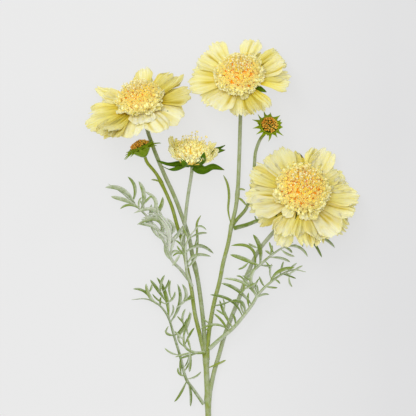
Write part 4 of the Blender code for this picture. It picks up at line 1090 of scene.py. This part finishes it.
def buildStem():
    draw, look = random.Random(8), stemLook
    nodes = [place(p) for p in look["nodes"]]
    paths = []
    for name, ((footRadius, tipRadius), (foot, tip), points) in stalks.items():
        points = [place(p) for p in points]
        if name in heads:
            seat = place(heads[name]["seat"])
            points += [seat - Vector(heads[name]["axis"]).normalized() * 5 * mm, seat]
        route = smoothRoute(points, 5)
        shares = np.linspace(0, 1, len(route))
        widths = []
        for point, share in zip(route, shares):
            near = min((point - node).length for node in nodes) / mm
            swell = 1 + look["swelling"] * math.exp(-(near / look["swellingLength"]) ** 2)
            widths.append((footRadius + (tipRadius - footRadius) * share) * swell)
        powder = foot + (tip - foot) * shares
        if name.endswith("bud"):
            # bare and bright for the last 9 mm under a bud
            bare = [math.exp(-((points[-1] - p).length / mm / 9) ** 4) for p in route]
            powder = powder - 1.2 * np.array(bare)
        paths.append({"route": route, "widths": widths, "facing": (0.2, 0.1, 1), "tone": draw.random(),
                      "bloom": powder})
    tubes = sweepPaths("stalks", paths, {"Sides": look["sides"], "Ridges": look["ridges"],
                                         "Ridge Depth": look["ridgeDepth"], "Material": stemSkin})
    blades = []
    for halfWidth, points in stemBlades:
        route = smoothRoute([place(p) for p in points], 5)
        shares = np.linspace(0, 1, len(route))
        blades.append({"route": route, "widths": [halfWidth * lobeWidth(t) for t in shares],
                       "facing": (draw.uniform(-0.4, 0.4), 0.1, 1), "tone": draw.random(),
                       "bloom": look["bladeBloom"] + 0 * shares})
    leaves = sweepPaths("stemBlades", blades, {**look["blades"], "Material": stemSkin})
    down = runTree("stemDown", downTree, {**look["down"], "Material": downTissue}, tubes.copy())
    finishPiece("stemAndStalks", [tubes, leaves, down], "stem")


buildStem()


# leaves

# a rib's points, and its lobes: what each grows from (0 the rib, n the nth lobe), how far along that,
# its tip, and its bulge to the left as a share of its length
leafRows = {
    "leaf_upper_left": {
        "rib": [(-22.7, -26.5, 8.7), (-28.5, -19.0, 10.2), (-35.0, -12.0, 12.0), (-39.5, -1.0, 14.0),
                (-45.0, 9.0, 15.0), (-52.0, 18.5, 15.0), (-61.0, 27.5, 13.5), (-71.5, 37.0, 11.0),
                (-81.0, 43.0, 8.0)],
        "lobes": [
            (0, 0.78, (-66.8, 48.1, 12.8), -0.18), (0, 0.7, (-58.9, 44.8, 14.1), -0.16),
            (0, 0.68, (-58.0, 30.9, 16.4), -0.17), (0, 0.63, (-54.6, 37.5, 15.0), -0.35),
            (0, 0.6, (-41.6, 33.6, 14.0), -0.06), (0, 0.75, (-83.1, 40.3, 12.4), -0.18),
            (0, 0.75, (-78.9, 33.9, 14.5), -0.08), (0, 0.71, (-72.2, 24.8, 16.0), -0.18),
            (0, 0.46, (-62.5, 21.8, 18.7), -0.47), (0, 0.41, (-60.1, 13.6, 16.3), -0.48),
            (0, 0.41, (-57.1, 17.5, 14.3), -0.17), (0, 0.42, (-50.4, 12.7, 12.4), 0.09),
            (0, 0.45, (-38.9, 18.4, 16.6), -0.55), (0, 0.37, (-26.2, 13.6, 14.0), -0.05),
            (0, 0.24, (-40.1, 0.0, 9.8), 0.14), (0, 0.27, (-28.3, -7.3, 13.3), 0.45),
            (0, 0.36, (-56.5, 18.4, 16.0), -0.36), (0, 0.38, (-53.0, 22.0, 17.0), -0.3),
            (0, 0.34, (-49.3, 23.7, 17.5), -0.26), (0, 0.4, (-59.5, 14.0, 15.0), -0.26),
            (0, 0.33, (-45.7, 21.0, 18.0), -0.2), (0, 0.3, (-42.0, 8.0, 16.0), -0.3)]},
    "leaf_upper_middle": {
        "rib": [(-20.3, -31.0, 8.6), (-24.0, -22.0, 12.5), (-25.0, -12.0, 16.5), (-25.0, -2.0, 18.5),
                (-21.5, 6.0, 19.0), (-16.0, 12.0, 18.5)],
        "lobes": [
            (0, 0.88, (-10.1, 9.7, 18.8), 0.4), (0, 0.74, (-9.5, 7.5, 17.9), 0.08),
            (0, 0.51, (-4.9, -7.3, 17.6), 0.3), (0, 0.31, (-6.8, -9.4, 13.7), 0.3),
            (0, 0.45, (-34.6, -9.4, 17.0), -0.3), (0, 0.48, (-32.8, 2.4, 18.3), -0.08)]},
    "leaf_lower_left": {
        "rib": [(-12.1, -116.0, 2.9), (-19.0, -106.0, 3.2), (-25.0, -97.0, 4.0), (-29.0, -81.5, 4.6),
                (-33.5, -66.5, 5.5), (-37.5, -53.5, 6.5), (-44.0, -44.5, 7.4), (-53.5, -40.0, 7.6),
                (-64.0, -40.5, 6.6)],
        "lobes": [
            (0, 0.82, (-63.0, -32.8, 8.5), -0.14), (0, 0.77, (-53.6, -28.8, 10.4), 0.13),
            (0, 0.62, (-45.9, -24.4, 7.5), -0.05), (3, 0.42, (-50.6, -26.1, 8.9), -0.01),
            (3, 0.33, (-49.2, -36.2, 5.8), 0.05), (3, 0.64, (-37.2, -25.8, 8.1), -0.05),
            (0, 0.59, (-31.1, -29.1, 7.2), -0.1), (7, 0.41, (-27.8, -29.1, 7.6), -0.3),
            (8, 0.32, (-21.7, -37.2, 7.0), -0.12), (3, 0.36, (-32.8, -34.5, 8.8), -0.13),
            (0, 0.5, (-24.1, -53.9, 6.5), -0.09), (11, 0.63, (-25.1, -46.9, 8.1), 0.13),
            (0, 0.5, (-37.2, -59.3, 5.5), 0.47), (0, 0.26, (-30.5, -89.5, 4.1), 0.21),
            (0, 0.24, (-14.0, -92.3, 2.9), -0.09), (0, 0.23, (-33.5, -114.3, 2.9), -0.01),
            (0, 0.23, (-21.7, -117.6, 2.9), 0.1)]},
    "leaf_middle_left": {
        "rib": [(-11.2, -78.5, 6.8), (-18.5, -78.5, 9.0), (-25.0, -75.0, 11.0), (-26.5, -67.5, 12.0),
                (-24.5, -58.0, 12.0), (-22.0, -49.0, 11.5)],
        "lobes": [
            (0, 0.37, (-23.8, -60.1, 8.7), 0.4), (0, 0.67, (-21.1, -49.6, 15.0), -0.02),
            (0, 0.47, (-18.7, -60.6, 13.4), 0.01), (0, 0.24, (-32.8, -81.8, 9.4), 0.02),
            (0, 0.32, (-22.4, -92.8, 8.2), 0.06), (0, 0.11, (-29.5, -83.1, 6.1), 0.01)]},
    "leaf_lower_right": {
        "rib": [(-7.9, -75.8, 6.7), (0.0, -68.5, 9.6), (8.5, -61.5, 11.4), (15.5, -53.5, 12.6),
                (22.5, -44.5, 13.5), (27.0, -37.0, 14.0), (33.0, -30.5, 14.5), (42.0, -23.5, 14.0),
                (52.0, -19.0, 12.5), (61.5, -20.5, 11.0)],
        "lobes": [
            (0, 0.53, (2.0, -25.2, 13.9), -0.19), (1, 0.46, (11.3, -23.3, 15.9), -0.24),
            (0, 0.45, (0.5, -28.6, 12.5), -0.07), (3, 0.43, (15.7, -28.0, 16.1), -0.24),
            (0, 0.34, (-7.6, -36.9, 12.6), -0.2), (0, 0.37, (6.4, -41.9, 15.9), -0.31),
            (5, 0.47, (-4.5, -44.7, 14.6), 0.02), (0, 0.23, (-0.7, -40.7, 12.5), 0.03),
            (8, 0.39, (-3.2, -47.5, 12.9), -0.07), (0, 0.19, (-4.8, -50.6, 9.8), -0.02),
            (0, 0.55, (26.2, -16.8, 16.0), 0.22), (0, 0.56, (28.1, -24.9, 14.0), 0.24),
            (0, 0.7, (53.2, -17.3, 15.4), 0.21), (0, 0.81, (51.0, -21.8, 12.5), -0.02),
            (0, 0.81, (54.4, -25.3, 11.5), 0.03), (0, 0.74, (42.8, -29.1, 12.2), 0.09),
            (0, 0.65, (27.8, -23.6, 15.4), 0.1), (0, 0.2, (-14.7, -62.0, 11.1), -0.21),
            (18, 0.63, (-13.4, -53.9, 13.1), -0.02)]},
    "leaf_upper_right": {
        "rib": [(19.5, -22.5, 8.3), (24.0, -19.0, 9.8), (30.0, -14.0, 10.8), (36.0, -9.0, 11.2),
                (45.0, -3.0, 11.2), (55.0, -0.5, 10.0)],
        "lobes": [
            (0, 0.34, (23.4, 6.5, 10.5), -0.09), (0, 0.33, (7.0, -8.1, 10.5), 0.01),
            (0, 0.21, (7.6, -1.6, 11.8), -0.36), (0, 0.66, (35.2, 1.2, 11.2), 0.07),
            (0, 0.61, (32.1, -5.0, 12.2), -0.09), (0, 0.8, (38.6, 3.0, 11.2), -0.27),
            (0, 0.8, (62.8, -9.7, 10.2), 0.21), (0, 0.81, (51.6, -6.9, 8.1), 0.13),
            (0, 0.56, (50.2, -13.5, 10.1), 0.06), (0, 0.46, (35.8, -21.8, 9.9), 0.12)]},
    "leaf_behind_flower": {
        "rib": [(9.8, 11.0, 6.6), (19.0, 13.5, 9.0), (30.0, 17.5, 11.0), (42.0, 18.5, 10.0),
                (54.0, 13.0, 9.0), (64.0, 6.0, 8.0)],
        "lobes": [
            (0, 0.37, (29.1, 21.1, 11.7), 0.09), (0, 0.33, (24.6, 19.9, 11.3), -0.01),
            (0, 0.81, (59.4, -2.5, 9.0), 0.03), (0, 0.92, (73.1, -10.1, 8.4), 0.08),
            (0, 0.97, (82.4, -3.2, 8.1), 0.09), (0, 0.66, (52.2, 0.4, 9.7), -0.06)]},
}

leafLook = {
    "rib": {"Sides": 10, "Flatness": 0.8}, "lobes": {"Sides": 8, "Flatness": 0.17, "Keel": 0.45},
    "shortLobe": 14,       # mm, under which a lobe is slimmer
    "smallLobe": (7, 14),  # mm, how long those are that fill a leaf
    # for each leaf: its lobes' half width in mm, how much wider for each mm of length, the rib's half width,
    # the powder on its rib and on its lobes, from those nearest the foot to those at the tip, how many small
    # lobes fill it, and on which side of the rib most of those stand (1 left, -1 right)
    "leaf_upper_left": (0.88, 0.025, 1.3, 0.7, (1.05, -0.05), 8, -1),
    "leaf_upper_middle": (0.9, 0.02, 1.2, 0.6, (0.5, 0.2), 6, 1),
    "leaf_lower_left": (0.9, 0.02, 1.3, 0.4, (0.2, 0.15), 10, -1),
    "leaf_middle_left": (0.9, 0.01, 1.2, 0.3, (0.15, 0.1), 5, 1),
    "leaf_lower_right": (0.9, 0.014, 1.6, 0.5, (-0.1, 0.3), 16, 1),
    "leaf_upper_right": (0.9, 0.022, 1.3, 0.5, (-0.15, 0.35), 5, 1),
    "leaf_behind_flower": (0.8, 0.02, 1.7, 0.0, (0.1, 0.2), 3, 1),
}


def buildLeaf(name, leaf, seed):
    draw = random.Random(seed)
    halfWidth, perLength, ribWidth, powder, (low, high), fill, side = leafLook[name]
    points = [place(p) for p in leaf["rib"]]
    rib = smoothRoute(points, 6)
    shares = np.linspace(0, 1, len(rib))
    ribPath = {"route": rib, "widths": [ribWidth * (1 - 0.55 * t) * (1 - 0.7 * t ** 8) for t in shares],
               "facing": (0, 0, 1), "tone": draw.random(), "bloom": powder + 0 * shares}
    # the points of the rib and of each lobe, the lobes' paths, and how far along the rib each one starts
    routes, paths, starts = [smoothRoute(points, 1)], [], [0.5]

    def addLobe(parent, share, tip, bulge):
        start = pointOn(routes[parent], share)
        way = tip - start
        left = Vector((-way.y, way.x, 0))
        bow = left * bulge + Vector((0, 0, 0.06 * way.length))
        routes.append([start + way * t + bow * 4 * t * (1 - t) for t in (0, 1 / 3, 2 / 3, 1)])
        starts.append(starts[parent] if parent else share)
        steps = np.linspace(0, 1, 15)
        patchy = low + (high - low) * starts[-1]
        curl = left * draw.uniform(-0.1, 0.1) + Vector((0, 0, way.length * draw.uniform(-0.08, 0.1)))
        half = (halfWidth + perLength * way.length / mm) * draw.uniform(0.8, 1.15)
        half *= 0.75 if way.length < leafLook["shortLobe"] * mm else 1
        route = [start + way * t + bow * 4 * t * (1 - t) + curl * (t ** 4 - t) for t in steps]
        paths.append({"route": route, "widths": [half * lobeWidth(t) for t in steps], "tone": draw.random(),
                      "facing": Vector((draw.uniform(-0.6, 0.6), draw.uniform(-0.6, 0.6), 1)),
                      "bloom": patchy + draw.uniform(-0.3, 0.3) + 0.25 * (1 - steps) ** 2})

    for parent, share, tip, bulge in leaf["lobes"]:
        addLobe(parent, share, place(tip), bulge)
    for k in range(fill):
        # small lobes that the large ones and the rib carry, turned forwards
        parent = draw.randrange(1, len(leaf["lobes"]) + 1) if k % 2 else 0
        share = draw.uniform(0.3, 0.6) if parent else 0.25 + 0.6 * (k + draw.random()) / fill
        start = pointOn(routes[parent], share)
        ahead = (pointOn(routes[parent], share + 0.05) - start).normalized()
        turn = draw.choice((side, side, side, -side)) * draw.uniform(0.6, 1.0)
        ahead.rotate(Matrix.Rotation(turn, 3, "Z"))
        length = draw.uniform(*leafLook["smallLobe"]) * mm
        addLobe(parent, share, start + ahead * length, draw.uniform(-0.12, 0.12))
    stalk = sweepPaths(name + "Rib", [ribPath], {**leafLook["rib"], "Material": leafSkin})
    lobes = sweepPaths(name + "Lobes", paths, {**leafLook["lobes"], "Material": leafSkin})
    finishPiece(camel(name), [stalk, lobes], name)


for seed, (name, leaf) in enumerate(leafRows.items()):
    buildLeaf(name, leaf, seed)

for template in templates.values():
    bpy.data.objects.remove(template)
